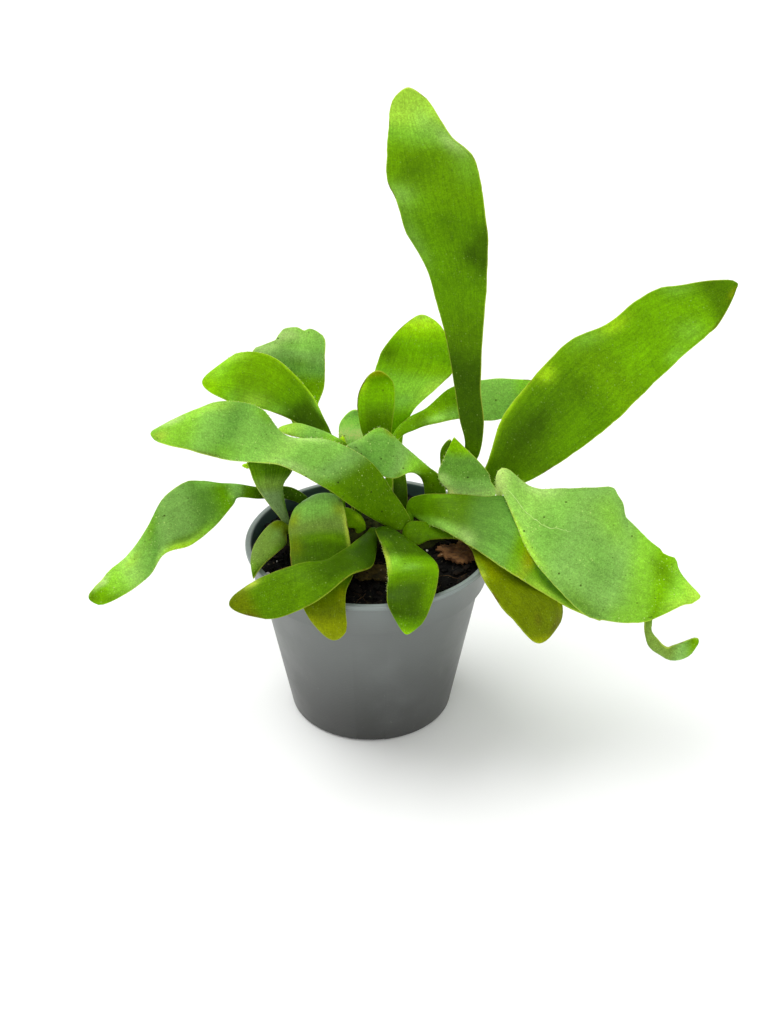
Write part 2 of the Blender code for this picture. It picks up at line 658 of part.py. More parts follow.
def main():
    clear_scene()
    make_pot()
    sockets = hidden_collection("sockets")
    for name, frond in FRONDS.items():
        make_frond(name, frond, sockets)
    rhizome = grown_together("rhizome", 0.0, material("rhizome", (0.09, 0.045, 0.02), roughness=0.9))
    boolean(rhizome, sockets, "DIFFERENCE")
    hollow = grown_together("rhizome hollow", CLEARANCE, None)
    hide(hollow)
    make_soil(hollow)
    for name, scrap in SCRAPS.items():
        make_scrap(name, scrap)


main()
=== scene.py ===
"""Dresses the potted staghorn fern: fine fronds, fuzz, potting mix, pot and studio light.

Lengths are in millimetres while a shape is made, and each mesh is scaled to metres when it is finished.
+Z is up, -Y is the front, and the origin is the middle of the pot's flat base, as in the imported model.
"""
import math
import random

import bmesh
import bpy
from mathutils import Matrix, Vector, noise
from mathutils.kdtree import KDTree


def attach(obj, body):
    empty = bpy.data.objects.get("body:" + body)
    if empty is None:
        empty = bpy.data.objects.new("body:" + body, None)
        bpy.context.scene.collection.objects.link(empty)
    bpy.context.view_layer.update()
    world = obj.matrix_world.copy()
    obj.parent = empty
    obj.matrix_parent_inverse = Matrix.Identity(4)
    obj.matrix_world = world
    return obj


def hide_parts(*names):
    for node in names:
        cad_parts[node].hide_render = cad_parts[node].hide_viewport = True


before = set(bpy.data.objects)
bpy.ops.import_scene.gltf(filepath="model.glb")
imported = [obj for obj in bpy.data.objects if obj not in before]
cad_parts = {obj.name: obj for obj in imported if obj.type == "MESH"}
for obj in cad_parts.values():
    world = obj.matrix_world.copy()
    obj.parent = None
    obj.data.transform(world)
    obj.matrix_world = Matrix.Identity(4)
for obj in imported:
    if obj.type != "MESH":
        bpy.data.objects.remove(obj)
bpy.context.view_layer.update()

METRES_PER_MM = 0.001
SHARP_DEGREES = 40


def paint(red, green, blue):
    """A colour in the usual 0 to 255 numbers, as the linear values that shaders take."""
    shares = (value / 255 for value in (red, green, blue))
    return tuple(share / 12.92 if share <= 0.04045 else ((share + 0.055) / 1.055) ** 2.4 for share in shares)


# Leaf colours, from the darkest to the palest. They are the leaves' greens as they look under light, so
# painted
# light and shade stand in them: the darkest greens and the shade greens are painted shade, the palest whitish
# greens are painted sheen, the sky's reflection on upward faces, the limes carry painted light shining
# through the blade, and the rim yellow and olive are painted light shining through thin edges
SPECK = paint(44, 54, 6)
BROWN = paint(86, 58, 22)
# The next three greens, like the shade greens below, are painted shade
DARKEST_SHADE_GREEN = paint(36, 62, 0)
DARKER_SHADE_GREEN = paint(48, 80, 0)
DEEP_SHADE_GREEN = paint(62, 96, 0)
OLIVE_SHADE = paint(102, 120, 0)
SHADE_GREEN = paint(86, 128, 0)
FELT_GREY = paint(110, 136, 82)
BLUE_SHADE = paint(92, 138, 46)
MOSS_GREY = paint(112, 142, 54)
MID_GREEN = paint(96, 146, 0)
OLIVE = paint(138, 152, 0)
LEAF_GREEN = paint(110, 160, 0)
BLUE_GREEN = paint(108, 162, 62)
# Painted light shining through an olive frond's thin edge
OLIVE_LIT_RIM = paint(160, 176, 48)
SPRING_GREEN = paint(118, 176, 0)
GREY_GREEN = paint(128, 176, 82)
SOFT_GREEN = paint(132, 188, 76)
FRESH_GREEN = paint(136, 196, 50)
# The limes are the leaf's green with painted light shining through the blade
LIME = paint(142, 200, 0)
# Painted sheen: the sky's reflection on upward faces
SHEEN_GREEN = paint(150, 202, 86)
# A pale lime, with painted light shining through the blade
PALE_LIME = paint(172, 220, 66)
# Painted light shining through a frond's thin edge
YELLOW_LIT_RIM = paint(204, 220, 78)
STAR_HAIR = paint(192, 220, 120)
# A paler painted sheen
PALE_SHEEN_GREEN = paint(190, 224, 130)
# A yellow lime, with painted light shining through the blade
YELLOW_LIME = paint(182, 232, 28)
# The palest painted sheen
CREAM_SHEEN_GREEN = paint(218, 246, 140)

# Leaf finishes: the material, the colour and width of its pale rim, which is painted light shining through
# the thin edge, and how strong its veins, hairs and specks are.
# The first three keys are also the record's slots.
BRIGHT = "bright_frond"
BLUE = "blue_green_frond"
YELLOWISH = "olive_frond"
FELTED = "felted"
LEAF_FINISHES = {
    BRIGHT: ("bright frond", YELLOW_LIT_RIM, 0.35, 0.7, 0.22, 0.3),
    BLUE: ("blue-green frond", YELLOW_LIT_RIM, 0.3, 0.4, 0.7, 0.8),
    YELLOWISH: ("olive frond", OLIVE_LIT_RIM, 0.35, 0.7, 0.25, 0.5),
    FELTED: ("felted underside", YELLOW_LIT_RIM, 0.3, 1.6, 0.3, 0.1),
}
LEAF_RELIEF = 0.00006
LEAF_SPECULAR = 0.04
LEAF_GLOW = 0.35
LEAF_GLOW_DEPTH = 0.0006

# Crumbly finishes: the dark and the light colour, the pattern's scale and how strong its pale grains are
CRUMBLY_FINISHES = {
    "potting mix": (paint(3, 3, 2), paint(14, 11, 8), 500.0, 0.2),
    "dark crumbs": (paint(4, 4, 3), paint(20, 15, 11), 900.0, 0.12),
    "bark chips": (paint(10, 8, 5), paint(38, 27, 18), 400.0, 0.15),
    "white grit": (paint(190, 186, 176), paint(232, 230, 224), 900.0, 0.0),
    "coir fibre": (paint(46, 34, 22), paint(96, 72, 46), 900.0, 0.1),
    "rhizome skin": (paint(20, 24, 6), paint(58, 62, 20), 450.0, 0.1),
    "papery scales": (paint(28, 24, 10), paint(80, 70, 32), 700.0, 0.1),
    "star hairs": (paint(176, 200, 96), paint(226, 236, 176), 900.0, 0.0),
    "pale scratch": (paint(176, 214, 112), paint(206, 232, 150), 900.0, 0.0),
    "bud fuzz": (paint(150, 180, 60), paint(214, 226, 150), 900.0, 0.0),
    "dry leaf": (paint(70, 44, 24), paint(132, 94, 58), 260.0, 0.3),
    "old frond": (paint(34, 28, 8), paint(72, 60, 22), 260.0, 0.35),
}
CRUMBLY_GRAIN = paint(170, 150, 120)
CRUMBLY_RELIEF = 0.0002
CRUMBLY_SPECULAR = 0.12

# Pot colours: the foot grey and the band grey paint shade low down and light higher up, the lip grey is a
# painted highlight, and the groove and inside greys are painted shade
POT_FOOT_SHADE_GREY = paint(50, 51, 49)
POT_WALL_GREY = paint(94, 98, 96)
POT_BAND_LIT_GREY = paint(106, 112, 110)
POT_LIP_HIGHLIGHT_GREY = paint(126, 136, 133)
POT_GROOVE_SHADE_GREY = paint(96, 100, 96)
POT_INSIDE_SHADE_GREY = paint(56, 74, 76)
POT_BLOTCH_GREY = paint(150, 154, 154)
POT_FLECK_GREY = paint(172, 176, 174)
POT_RELIEF = 0.00004

# Pot: a thin moulding with a rim band that stands out from the tapering wall
POT_HEIGHT = 48.0
POT_SIDES = 240
RIM_RADIUS = 31.2
RIM_LIP = 1.6
LIP_HEIGHT = 1.2
LIP_CORNER = 0.3
LIP_FOOT_INSET = 0.25
LIP_FOOT_RISE = 0.2
LIP_GROOVE = 0.12
LIP_GROOVE_RISE = 0.45
LIP_SHOULDER = 0.4
BAND_TOP_RADIUS = 30.3
BAND_BOTTOM = 39.0
BAND_BOTTOM_RADIUS = 29.3
STEP_INSIDE = 1.5
BASE_RADIUS = 21.0
BASE_CHAMFER = 1.4
BASE_CHAMFER_RISE = 0.5
WALL_TOP_RADIUS = 28.0
WALL = 0.9
FLOOR = 1.6
CORNERS_FROM_DEGREES = 12
CORNER_ROUNDING = 0.11
DRAIN_HOLES = 6
DRAIN_RADIUS = 2.2
DRAIN_RING = 14.5
DRAIN_SIDES = 40
FOOT_NOTCHES = 4
NOTCH_WIDTH = 7.0
NOTCH_HEIGHT = 0.7
NOTCH_DEPTH = 3.5

# Potting mix
SOIL_TOP = 45.0
SOIL_CLEARANCE = 0.5
SOIL_LIFT = 0.35
SOIL_RINGS = 90
BITS_MARGIN = 1.0
FIBRES_MARGIN = 1.5
# Each kind of bit: its finish, how many, the smallest and largest half length, its flatness and its fineness
SOIL_BITS = {
    "soil_crumbs": ("dark crumbs", 900, 0.35, 0.85, 0.7, 1),
    "bark_chips": ("bark chips", 130, 0.9, 2.1, 0.3, 2),
    "white_grit": ("white grit", 26, 0.3, 0.65, 0.8, 1),
}
FIBRES = 60
FIBRE_JOINTS = 7
FIBRE_BEND = 0.5
FIBRE_LENGTHS = (3.0, 9.0)
FIBRE_LIFTS = (0.3, 0.9)
FIBRE_WIDTHS = (0.14, 0.3)

# Rhizome: three lumps grown together, each as (x, y, z) and the three radii
RHIZOME_LUMPS = (
    ((9.5, 6.0, 42.8), (11.8, 9.8, 7.4)),
    ((-3.0, 7.5, 43.0), (9.0, 9.0, 6.5)),
    ((-15.0, 5.0, 43.0), (9.5, 7.5, 5.8)),
)
SCALES_PER_LUMP = 150
SCALE_LENGTHS = (0.7, 1.7)
SCALE_RADIUS = 0.34
SCALE_TIP_RADIUS = 0.03
SCALE_FLATNESS = 0.3

# Scraps of dead leaf: the middle, the half length and half breadth, the turn in degrees and the curl
SCRAPS = {
    "scrap_dry_leaf": ((22.9, -4.4), 5.0, 4.2, 20.0, 0.9),
    "scrap_old_frond": ((1.6, -13.4), 5.8, 3.8, 75.0, 0.6),
}
SCRAP_GRID = (30, 36)
SCRAP_THICKNESS = 0.35
SCRAP_LIFT = 0.7
SCRAP_TEAR = 0.12
SCRAP_CORNER_ROUNDING = 0.18

# Fronds: a thin blade whose stalk thickens to a wiry, nearly round section
PLANT_PLACE = (-1.35, 0.0, 0.0)
STALK_BREADTH = 2.1
STALK_THICKNESS = 1.7
BLADE_THICKNESS = 0.8
VISIBLE_EDGE = 0.2
BROAD_ENOUGH_TO_BE_THIN = 7.0
SLOPE_STEP = 0.02
RUFFLE_TURN_PER_ROW = 2.3
RUFFLE_OFFSET = 1.3
UNDULATION = 0.28
UNDULATION_PACE = 0.11
FINE_UNDULATION = 0.06
FINE_UNDULATION_PACE = 0.45
EDGE_WOBBLE = 0.02
# Each waver of an edge: its strength, its pace for each millimetre, its step from one frond to the next, and
# its step from the left edge to the right edge
EDGE_WAVERS = ((1.0, 0.22, 3.1, 9), (0.5, 0.8, 1.7, 5))
SEED_STEP = 1.37
FIRST_LOBE_SEED = 77
FINE_STRIPS = 28
FINE_SPACING = 1.0
LENGTH_SAMPLES = 600
TIP_STEPS = 12
TIP_REACH = 0.985

# Star hairs: the frond, places along from and to, places across from and to, and how many
HAIRY_PLACES = (
    ("frond_forked", 0.30, 0.38, -1.0, 1.0, 120), ("frond_forked", 0.38, 0.60, 0.94, 1.0, 90),
    ("frond_forked", 0.40, 0.62, -1.0, -0.94, 50), ("frond_right_short", 0.50, 0.90, -1.0, -0.92, 90),
    ("frond_right_short", 0.50, 0.90, 0.94, 1.0, 40), ("frond_left_long", 0.38, 0.80, 0.94, 1.0, 150),
    ("frond_left_long", 0.40, 0.76, -1.0, -0.94, 90), ("frond_centre", 0.52, 0.96, 0.92, 1.0, 60),
    ("frond_front_centre", 0.30, 0.80, 0.94, 1.0, 60), ("frond_right_strap", 0.20, 0.70, 0.94, 1.0, 60),
    ("frond_left_twisted", 0.45, 0.92, -1.0, -0.94, 60), ("frond_left_upper", 0.55, 0.92, 0.96, 1.0, 50),
)
STAR_HAIR_LENGTHS = (0.25, 0.65)
STAR_HAIR_RADIUS = 0.045
HAIR_TIP = 0.3
BUD_HAIRS = 420
BUD_HAIR_LENGTHS = (0.4, 1.0)
BUD_HAIR_RADIUS = 0.05
# The scratch on the forked frond, as places along and across
SCRATCH_PLACES = ((0.37, 0.35), (0.42, 0.25), (0.48, 0.22), (0.53, 0.20), (0.58, 0.05), (0.61, 0.00))
SCRATCH_STEPS = 6
SCRATCH_WIDTH = 0.22
SCRATCH_LIFT = 0.02
THREAD_END = 0.35
# A finder takes the nearest corners by place along, place across and face: a step from edge to edge counts
# as twice FINDER_ACROSS millimetres, and one from face to face as twice FINDER_FACE
FINDER_ACROSS = 10.0
FINDER_FACE = 100.0
FINDER_CORNERS = 4
FINDER_SOFTNESS = 0.05

# Each frond's stalk is a line of points from its foot in the rhizome. Each row of its blade holds the
# left edge (x, y, z) and the right edge (x, y, z), looking from the foot to the tip with the upper face
# up. The cup lifts the middle of the blade, and the ruffle is how far its edges wave. The breadth is the
# stalk's, where it isn't the usual one. A lobe is a smaller blade that grows from the first.
FRONDS = {
    "frond_tall": dict(
        cup=-0.8, ruffle=0.5, tip=(10, 16.8, 153.6),
        stalk=((14.8, 11.4, 43.5), (18, 13.4, 52), (23.4, 12.8, 59)),
        blade=((25, 12.5, 67, 28.5, 12, 64.5), (23.5, 13.5, 74.5, 29.5, 12, 73.5),
               (22, 15, 82.5, 28.5, 13, 82), (20, 17, 93.5, 28.6, 15, 93.5), (17.5, 19, 102.5, 29, 16, 105),
               (14.5, 20, 111.5, 29.3, 17, 113.5), (10, 20.5, 119.5, 29.1, 17, 120),
               (8, 21, 125.5, 28, 17, 126), (5.5, 21, 131, 27, 17, 132.5), (5.5, 20.5, 136.5, 25, 17, 138),
               (5.5, 20, 141.5, 20.5, 17, 142), (5.8, 19, 145.5, 17.8, 17, 146),
               (6.2, 18, 149.3, 15.2, 17, 149.8), (7.2, 17.5, 151.6, 13.2, 16.7, 152))),
    "frond_upper_right": dict(
        cup=-1.2, ruffle=0.5, tip=(89, 17, 108.1),
        stalk=((17.8, 8, 43.5), (20, 9.5, 50), (26.5, 11, 55)),
        blade=((30.5, 13, 61, 39, 9, 58), (34, 15, 73, 49, 9, 64.5), (41, 17, 83, 58, 10, 71.5),
               (50, 19, 92.5, 66, 12, 79), (59.5, 20, 97, 73.5, 14, 86.5), (66, 20, 103, 79.5, 15, 92.5),
               (72, 20, 105.5, 83.5, 15, 96.5), (78.5, 19.3, 107.5, 85.2, 15.7, 98),
               (82.8, 18.7, 108.3, 87, 16, 101.8), (86, 18, 108.8, 88.2, 16.3, 105),
               (87.8, 17.5, 108.8, 88.8, 16.8, 107))),
    "frond_forked": dict(
        cup=0.8, ruffle=0.7, tip=(80, -20.5, 43.8),
        stalk=((15.8, 2.8, 43.5), (19, 4.6, 50), (26, 5, 54.2), (33, 4.2, 55)),
        blade=((32.7, 3, 64.6, 33.6, 1.8, 60), (35.2, 3, 65.6, 34.4, -1.8, 59.6),
               (41.5, 3, 60.5, 36.5, -7, 56), (49.5, 2, 60.5, 40, -13, 50.5), (59.5, 0, 62.5, 47, -19, 43.5),
               (62, -2, 60.5, 52, -22, 40), (64, -5, 57, 57, -23, 38.5), (68.5, -9, 53, 65, -24, 38.5),
               (74, -13, 50, 70.5, -23, 40), (76, -15, 47.2, 75.3, -22.8, 42.8),
               (78.2, -18, 45.2, 77.8, -22, 42.8)),
        lobe=dict(
            stalk=(), cup=0.5, ruffle=0.2, tip=(80.1, -24, 33.6),
            blade=((68.6, -22.3, 40.2, 66.7, -22.9, 39.8), (68.5, -22.6, 36.8, 66.9, -23.6, 36.6),
                   (68.7, -24, 36, 67, -24.5, 35.2), (69.8, -25.4, 35, 67.6, -25, 33.4),
                   (71.1, -25.8, 33.7, 69.1, -24.4, 31.2), (72.7, -25.2, 32.2, 71.1, -24, 29.6),
                   (74.1, -24.3, 32.4, 73.2, -24.8, 28.5), (76, -23.9, 33, 75.6, -25, 28.4),
                   (77.9, -23.8, 33.6, 77.9, -24.4, 29.3), (79, -23.9, 34.3, 79.4, -23.9, 31.1)))),
    "frond_right_strap": dict(
        cup=1, ruffle=0.3, tip=(57.5, -17, 34.5), breadth=3.2,
        stalk=((11.4, 4, 43.5), (11.6, 3.8, 47.6)),
        blade=((10.6, 7.5, 53.5, 12.2, 6, 50.3), (14, 6.5, 56.5, 15, 2.5, 50.5), (21, 4, 58, 20, -5, 52.5),
               (28.7, 2, 58.6, 26, -11.5, 52), (35.5, 1.2, 58.6, 30.5, -16.5, 51.2),
               (41.5, -4, 52.5, 36, -18.5, 48.5), (47, -9, 43, 42, -17.5, 43.5),
               (52.5, -13, 38.5, 50, -17, 38))),
    "frond_right_under": dict(
        cup=0.6, ruffle=0.5, tip=(41.9, -27, 34.9), breadth=3.6,
        stalk=((9.8, -0.5, 43.5), (9.9, -0.6, 46.5)),
        blade=((10.6, 1.4, 51.2, 11.2, -2.3, 47.3), (14.2, 1.6, 51.6, 13.6, -2.4, 47.2),
               (17.6, 1.9, 50.4, 16.4, -1.6, 48.2), (24.3, 1.4, 50.4, 22.4, -3, 49.3),
               (29.7, -3.6, 50.2, 25.7, -7.4, 49.4), (33.5, -9.2, 49, 27, -14, 49.2),
               (38.6, -11.5, 45.5, 28.6, -20, 47.3), (44.2, -13.8, 42, 31.4, -24, 45),
               (47.7, -16.3, 38.7, 34.6, -26.5, 42.2), (47.6, -19.5, 35.8, 36.5, -27.5, 39.4))),
    "frond_right_short": dict(
        cup=1.2, ruffle=0.2, tip=(22, 8.6, 71.4),
        stalk=((12.8, 6, 43.5), (14, 6.2, 49)),
        blade=((17, 7, 52.5, 20.5, 6.5, 52), (20.8, 8, 56.3, 32.4, 7, 55.8),
               (18.6, 8.2, 59.7, 31.4, 7.3, 59.9), (18.3, 8.3, 62, 30.8, 7.5, 62.1),
               (19.1, 8.5, 64.4, 29, 7.7, 64.5), (20.2, 8.6, 67.4, 26.4, 8, 67.2),
               (21, 8.7, 69.3, 24.4, 8.3, 69.1)),
        lobe=dict(
            stalk=(), cup=0.2, ruffle=0, tip=(21, 9.6, 70.3),
            blade=((19, 8.5, 61.5, 21.2, 8.6, 61.7), (18.8, 9.8, 64.3, 21, 9.2, 64.6),
                   (18.7, 10, 66.3, 21.4, 9.4, 66.2), (19.2, 9.8, 68.3, 21.9, 9.4, 68)))),
    "frond_centre": dict(
        cup=0.9, ruffle=0.2, tip=(-4.4, 5.4, 70.8), breadth=3.6,
        stalk=((12.5, 10.2, 43.5), (14.8, 10.6, 48)),
        blade=((15, 11, 53, 20.5, 10.5, 52.5), (14.2, 10.2, 59, 19, 10, 59.5),
               (11.3, 4.6, 63.7, 14.9, 9.5, 63.6), (7, 3.7, 62.6, 9.5, 10, 68.5), (2.1, 4.8, 64, 4, 11, 73),
               (-1.4, 5, 68.2, -1.2, 9.5, 70.6))),
    "frond_spoon": dict(
        cup=-0.6, ruffle=0.2, tip=(3, 15, 86.5),
        stalk=((2.2, 11.5, 43.5), (2.4, 13.5, 56)),
        blade=((0, 15, 66, 6, 15, 65.5), (-1.3, 15.5, 71.5, 6.8, 15.5, 71.5), (-1.9, 16, 77.5, 7.4, 16, 77.5),
               (-0.8, 16, 82, 6.9, 16, 83.3))),
    "frond_back_tall": dict(
        cup=-0.8, ruffle=0.3, tip=(14.3, 29, 95.6), breadth=3.6,
        stalk=((8.8, 12.5, 43.5), (8.9, 13.6, 54)),
        blade=((6.5, 21, 64.5, 9.5, 21, 64), (4.5, 22, 71, 12, 22, 72), (2, 25, 77.5, 18, 22, 78.5),
               (3.5, 28, 84.5, 22.5, 24, 83), (6, 28.3, 88.8, 21.8, 24.8, 88.3), (8.6, 29, 91.6, 20, 26, 92),
               (11, 29.2, 93.8, 17.8, 27.4, 94.5))),
    "frond_back_small": dict(
        cup=-0.4, ruffle=0.1, tip=(-2.6, 22, 72.6),
        stalk=((-1.2, 13.2, 43.5), (-2.6, 16, 54)),
        blade=((-6.2, 20, 61.5, -0.8, 20, 60.8), (-6.9, 21, 66.3, 0.4, 21, 66),
               (-6.2, 22, 69.6, 0.4, 22, 69.9))),
    "frond_back_strap": dict(
        cup=0.4, ruffle=0.3, tip=(47.5, 31, 73.5),
        stalk=((5.9, 10.8, 43.5), (5.9, 12.5, 54)),
        blade=((6.5, 17, 66.5, 8, 16, 66), (10.5, 19, 71.5, 13, 18, 69), (15.5, 22, 73, 19, 19, 70.5),
               (22, 26, 77, 24.5, 21, 70.5), (31.5, 29, 78, 32.5, 24, 68.5), (39.5, 31, 77, 40, 27, 69.5),
               (44, 31, 76.5, 44.5, 29, 70.5))),
    "frond_back_left": dict(
        cup=-0.6, ruffle=0.6, tip=(-16, 27.5, 92.9),
        stalk=((-7.5, 10.8, 43.5), (-8.5, 14, 55)),
        blade=((-16.5, 19, 65.5, -11, 17, 67.5), (-20.5, 22, 72.5, -12, 19, 74),
               (-25.5, 25, 78, -10.5, 21, 79), (-28.5, 26.5, 86.5, -10, 23, 85.5),
               (-25, 27.5, 88.5, -9.8, 24, 88.6), (-22.3, 28, 90.2, -10.3, 25, 91),
               (-20.5, 28, 91.7, -12, 26, 92.4))),
    "frond_left_upper": dict(
        cup=0.8, ruffle=0.3, tip=(-39.5, 12, 85),
        stalk=((-2.2, 9.4, 43.5), (-3.5, 11, 57)),
        blade=((-10.5, 12, 67, -7.4, 14, 67), (-16.5, 11, 74, -10.4, 16, 73), (-23.5, 9, 78.5, -14, 17, 80.5),
               (-30.5, 7, 81, -22, 17, 89), (-33.5, 7.5, 82, -31.5, 16, 90.5))),
    "frond_left_long": dict(
        cup=0.8, ruffle=0.5, tip=(-49, -9.2, 81.1), breadth=2.8,
        stalk=((9.5, 2.5, 43.5), (10.6, 2, 46.3)),
        blade=((8.6, 1.4, 48.4, 11.6, 2.5, 48.9), (4.6, 1.6, 50.6, 11, 3.2, 52.2), (-2, -1, 56.5, 7.5, 4, 58),
               (-9, -4, 64, 1.5, 4, 67), (-17.5, -7, 71, -8.5, 3, 73.5), (-24, -9, 73.5, -18.5, 1, 76),
               (-31, -11, 75.5, -24.5, 0, 83.5), (-37, -12, 77.5, -33, -2.5, 86.5),
               (-41, -12, 78.8, -39, -4, 85.3), (-44.5, -12, 79.8, -44, -6.3, 83.7),
               (-47, -11, 80, -47.3, -8, 82.6), (-48.2, -10.2, 80.2, -48.6, -8.6, 82))),
    "frond_left_behind": dict(
        cup=0.3, ruffle=0.1, tip=(-21, 7, 74.5),
        stalk=((-1.6, 6.3, 43.5), (-2, 6.6, 56), (-2.6, 6.8, 63)),
        blade=((-4.8, 6.8, 67.4, -3.2, 8, 68.6), (-11.5, 5, 71, -8, 8, 72.5), (-15.5, 4.5, 73.5, -14, 8, 75),
               (-18.5, 5, 74, -17.5, 8, 75.5))),
    "frond_left_twisted": dict(
        cup=0.6, ruffle=0.3, tip=(-66.4, -17, 41),
        stalk=((-13.2, 8, 43.5), (-13.6, 8.6, 49)),
        blade=((-16, 9, 52, -14, 10, 53), (-21, 9, 54, -19, 10.5, 56.5), (-27, 7, 55, -26, 8.5, 57.5),
               (-31.5, 4, 57, -31.5, 6.5, 59.5), (-32.5, 0, 57, -35.5, 5, 60.5),
               (-37, -5, 53.5, -40, 3, 62.5), (-42.5, -8, 50.5, -44, 0, 63.5), (-48, -11, 50, -49, -4, 61),
               (-51.5, -13, 45.5, -52.5, -8, 55.5), (-54, -15.3, 44, -57, -11.5, 50),
               (-57.5, -16.3, 41.8, -61, -13.3, 47.3), (-61.5, -17, 39.8, -63.7, -15.2, 44.8),
               (-64.2, -17.2, 39.2, -65.5, -16.3, 43))),
    "frond_left_standing": dict(
        cup=-1, ruffle=0.2, tip=(-23, 6, 72),
        stalk=((-19.3, 4.4, 43.5), (-20, 4, 50.5)),
        blade=((-20, 5, 54.5, -23.5, 3, 55), (-20.5, 6, 59.5, -26.5, 2, 61), (-18, 7, 63, -28, 2, 65.5),
               (-16.5, 8, 67.5, -28.5, 3, 69)),
        lobe=dict(
            stalk=(), cup=0.1, ruffle=0, tip=(-30.1, 4.4, 65.9),
            blade=((-26.6, 4.6, 65.6, -27, 5.5, 66.8), (-27.7, 4.5, 65.4, -28, 5.5, 66.4),
                   (-28.9, 4.2, 65.1, -29.2, 5, 66.1)))),
    "frond_left_rim": dict(
        cup=0.5, ruffle=0.1, tip=(-26.2, -19.8, 48.6),
        stalk=((-16.8, 0.6, 43.5), (-17.6, 0.8, 48)),
        blade=((-19.5, 0, 48.9, -21.5, 3, 50.9), (-19.3, -5, 49, -24.4, -2, 51.7),
               (-21.3, -11, 49.9, -26.7, -9, 51.2), (-23.5, -15.3, 50.2, -27.2, -14, 50.3),
               (-25.2, -18.3, 49.4, -26.8, -17.5, 49.6))),
    "frond_front_arched": dict(
        cup=1.6, ruffle=0.3, tip=(-7, -34.5, 41.3),
        stalk=((-9.5, 5.5, 43.5), (-10, 6.2, 51)),
        blade=((-8, 4.4, 57.4, -13.5, 4.5, 56), (-5.6, 0.8, 58, -17.2, 0, 56),
               (-4.6, -3, 55.4, -18.6, -4, 54), (-3.5, -8, 51.8, -18, -10, 52),
               (-2.5, -17.5, 49, -17, -20, 51), (-4, -27, 49.7, -15, -29, 50),
               (-4, -32.5, 48, -13.5, -32.5, 48), (-3.9, -34.5, 43.6, -10.7, -34, 44.3))),
    "frond_front_long": dict(
        cup=0.6, ruffle=0.3, tip=(-30.5, -32, 49),
        stalk=((2.4, 2.6, 43.5), (2.2, 2.2, 48.5)),
        blade=((3, -3, 48, 0, 0, 49), (2, -18, 51, -4.5, -14, 53), (-3, -29, 55, -8.5, -23, 56),
               (-8.5, -36, 54.5, -13.5, -28, 58), (-14.5, -37, 51, -19.5, -30, 57),
               (-22, -36, 48, -25.5, -30, 54))),
    "frond_front_centre": dict(
        cup=0.8, ruffle=0.4, tip=(10, -34, 42.5),
        stalk=((6, -0.3, 43.5), (6, -0.6, 49)),
        blade=((7.8, -2.8, 51.4, 2.6, -2.6, 51.8), (13.3, -9, 50.6, 4.1, -8.4, 50.4),
               (17.5, -17, 50, 5.5, -17, 49.5), (17, -26, 51, 5.5, -26, 50), (15.5, -32, 49, 5.5, -31, 49),
               (13.5, -34, 45.5, 7.5, -33.5, 45.5))),
    "frond_front_small": dict(
        cup=0.2, ruffle=0, tip=(-5.5, 1, 55.5),
        stalk=((-1.2, 3.2, 43.5),),
        blade=((-2.5, 2, 49, 0, 4, 49.5), (-4.5, 1, 50.5, -2, 3, 53.5))),
    "frond_bud": dict(
        cup=0, ruffle=0, tip=(-5.5, 9.5, 71.5),
        stalk=((-5.6, 7.6, 43.5), (-6.2, 8.6, 56)),
        blade=((-6.8, 9.5, 67, -4.4, 9.5, 67),)),
}
